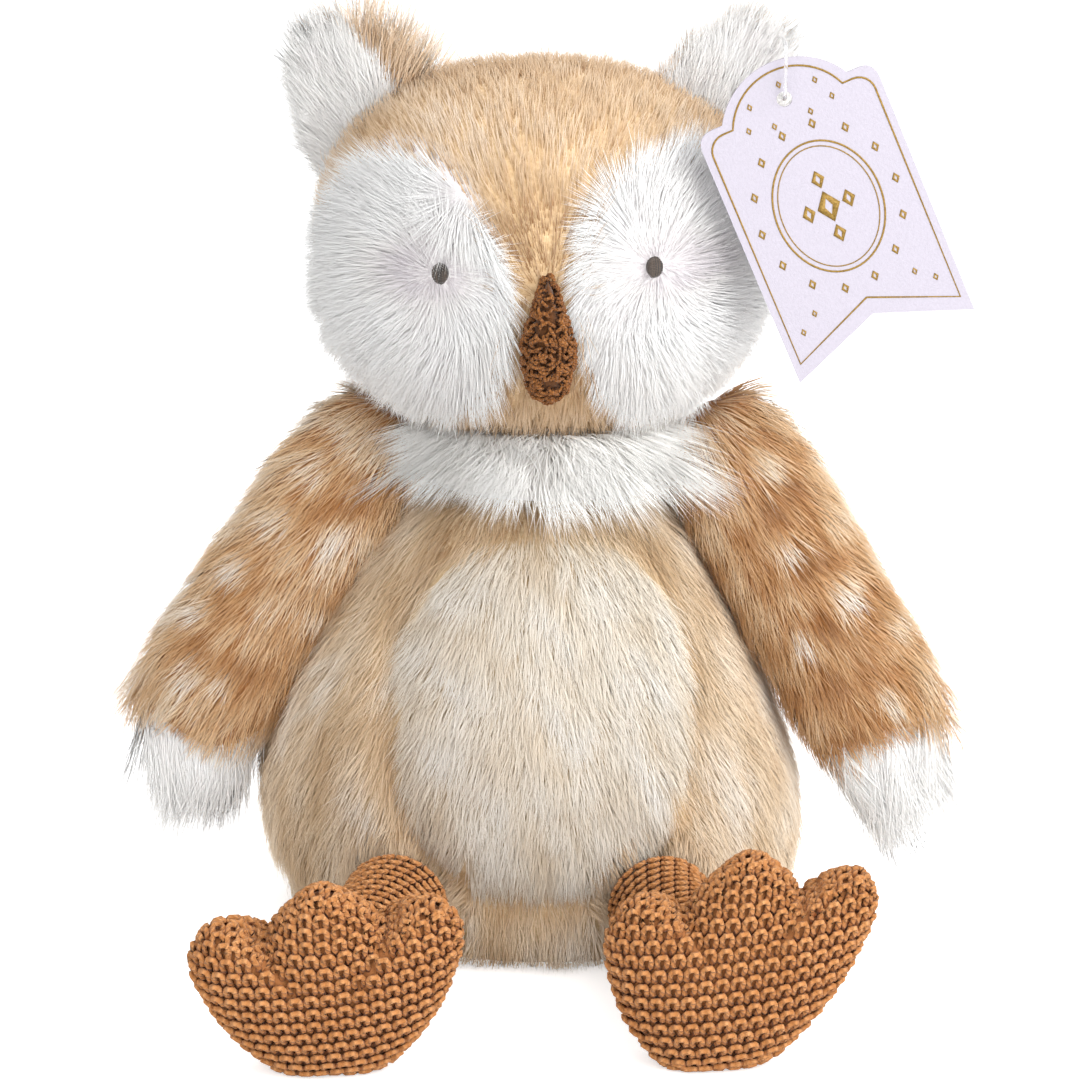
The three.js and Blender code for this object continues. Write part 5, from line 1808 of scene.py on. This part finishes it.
class OWL_OT_stage(bpy.types.Operator):
    """Stage: camera, soft lamps and a pale floor"""

    bl_idname = "owl.stage"
    bl_label = "Stage"

    def execute(self, context):
        scene = context.scene
        settings = scene.owl_stage
        pitch = math.radians(CAMERA_PITCH)
        back, rise = settings.distance * math.cos(pitch), settings.distance * math.sin(pitch)
        eye = np.array([0.0, -back, CAMERA_RISE + rise])
        camera = bpy.data.objects.new("Camera", bpy.data.cameras.new("Camera"))
        scene.collection.objects.link(camera)
        camera.location = eye
        camera.rotation_euler = aimed(eye, CAMERA_AIM)
        camera.data.lens = CAMERA_LENS
        camera.data.sensor_width = CAMERA_SENSOR
        scene.camera = camera
        for name, spot, size, power in LAMPS:
            lamp = bpy.data.objects.new(name, bpy.data.lights.new(name, "AREA"))
            lamp.data.size = size
            lamp.data.energy = power
            lamp.location = spot
            lamp.rotation_euler = aimed(np.array(spot), LAMP_AIM)
            scene.collection.objects.link(lamp)
        world = scene.world or bpy.data.worlds.new("World")
        scene.world = world
        world.use_nodes = True
        background = world.node_tree.nodes["Background"]
        background.inputs["Color"].default_value = (1.0, 1.0, 1.0, 1.0)
        seen = world.node_tree.nodes.new("ShaderNodeLightPath")
        bright = world.node_tree.nodes.new("ShaderNodeMapRange")
        world.node_tree.links.new(seen.outputs["Is Camera Ray"], bright.inputs["Value"])
        bright.inputs["To Min"].default_value = 0.85
        bright.inputs["To Max"].default_value = 1.0
        world.node_tree.links.new(bright.outputs["Result"], background.inputs["Strength"])
        corners = np.array([[-1.0, -1.0, 0.0], [1.0, -1.0, 0.0], [1.0, 1.0, 0.0], [-1.0, 1.0, 0.0]])
        ground = add_mesh("floor", FLOOR_REACH * corners, np.array([[0, 1, 2, 3]]))
        floor = Finish("Floor", Roughness=0.9, Specular_IOR_Level=0.1)
        grain = floor.noise(3.0)
        pale = tuple(settings.floor_colour)
        floor.feed("Base Color", floor.ramp(grain, [(0.0, tuple(c * 0.99 for c in pale)), (1.0, pale)]))
        camera_ray = floor.node("ShaderNodeLightPath", output="Is Camera Ray")
        floor.shader.inputs["Emission Strength"].default_value = 1.0
        floor.feed("Emission Color", floor.ramp(camera_ray, [(0.0, (0.0, 0.0, 0.0)), (1.0, (0.5, 0.5, 0.5))]))
        ground.data.materials.append(floor.material)
        scene.view_settings.view_transform = "Standard"
        return {"FINISHED"}


class OWL_PT_panel(bpy.types.Panel):
    """Lists the owl's settings and the operators that make its pieces"""

    bl_idname = "OWL_PT_panel"
    bl_label = "Plush Owl"
    bl_space_type = "VIEW_3D"
    bl_region_type = "UI"
    bl_category = "Owl"

    def draw(self, context):
        for group in ("owl_plush", "owl_crochet", "owl_tag", "owl_stage"):
            settings = getattr(context.scene, group)
            box = self.layout.box()
            for name in settings.__annotations__:
                box.prop(settings, name)
        for operator in OPERATORS:
            self.layout.operator(operator.bl_idname)


OPERATORS = (
    OWL_OT_stage,
    OWL_OT_body,
    OWL_OT_tummy,
    OWL_OT_collar,
    OWL_OT_head,
    OWL_OT_discs,
    OWL_OT_ears,
    OWL_OT_eyes,
    OWL_OT_beak,
    OWL_OT_wings,
    OWL_OT_legs,
    OWL_OT_tag,
    OWL_OT_filling,
)
GROUPS = {
    "owl_plush": OwlPlushSettings,
    "owl_crochet": OwlCrochetSettings,
    "owl_tag": OwlTagSettings,
    "owl_stage": OwlStageSettings,
}


def register():
    for cls in (*GROUPS.values(), *OPERATORS, OWL_PT_panel):
        bpy.utils.register_class(cls)
    for name, cls in GROUPS.items():
        setattr(bpy.types.Scene, name, bpy.props.PointerProperty(type=cls))


def unregister():
    for name in GROUPS:
        delattr(bpy.types.Scene, name)
    for cls in (OWL_PT_panel, *reversed(OPERATORS), *reversed(list(GROUPS.values()))):
        bpy.utils.unregister_class(cls)


def main():
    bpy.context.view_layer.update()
    register()
    for operator in OPERATORS:
        group, name = operator.bl_idname.split(".")
        getattr(getattr(bpy.ops, group), name)()


if __name__ == "__main__":
    main()
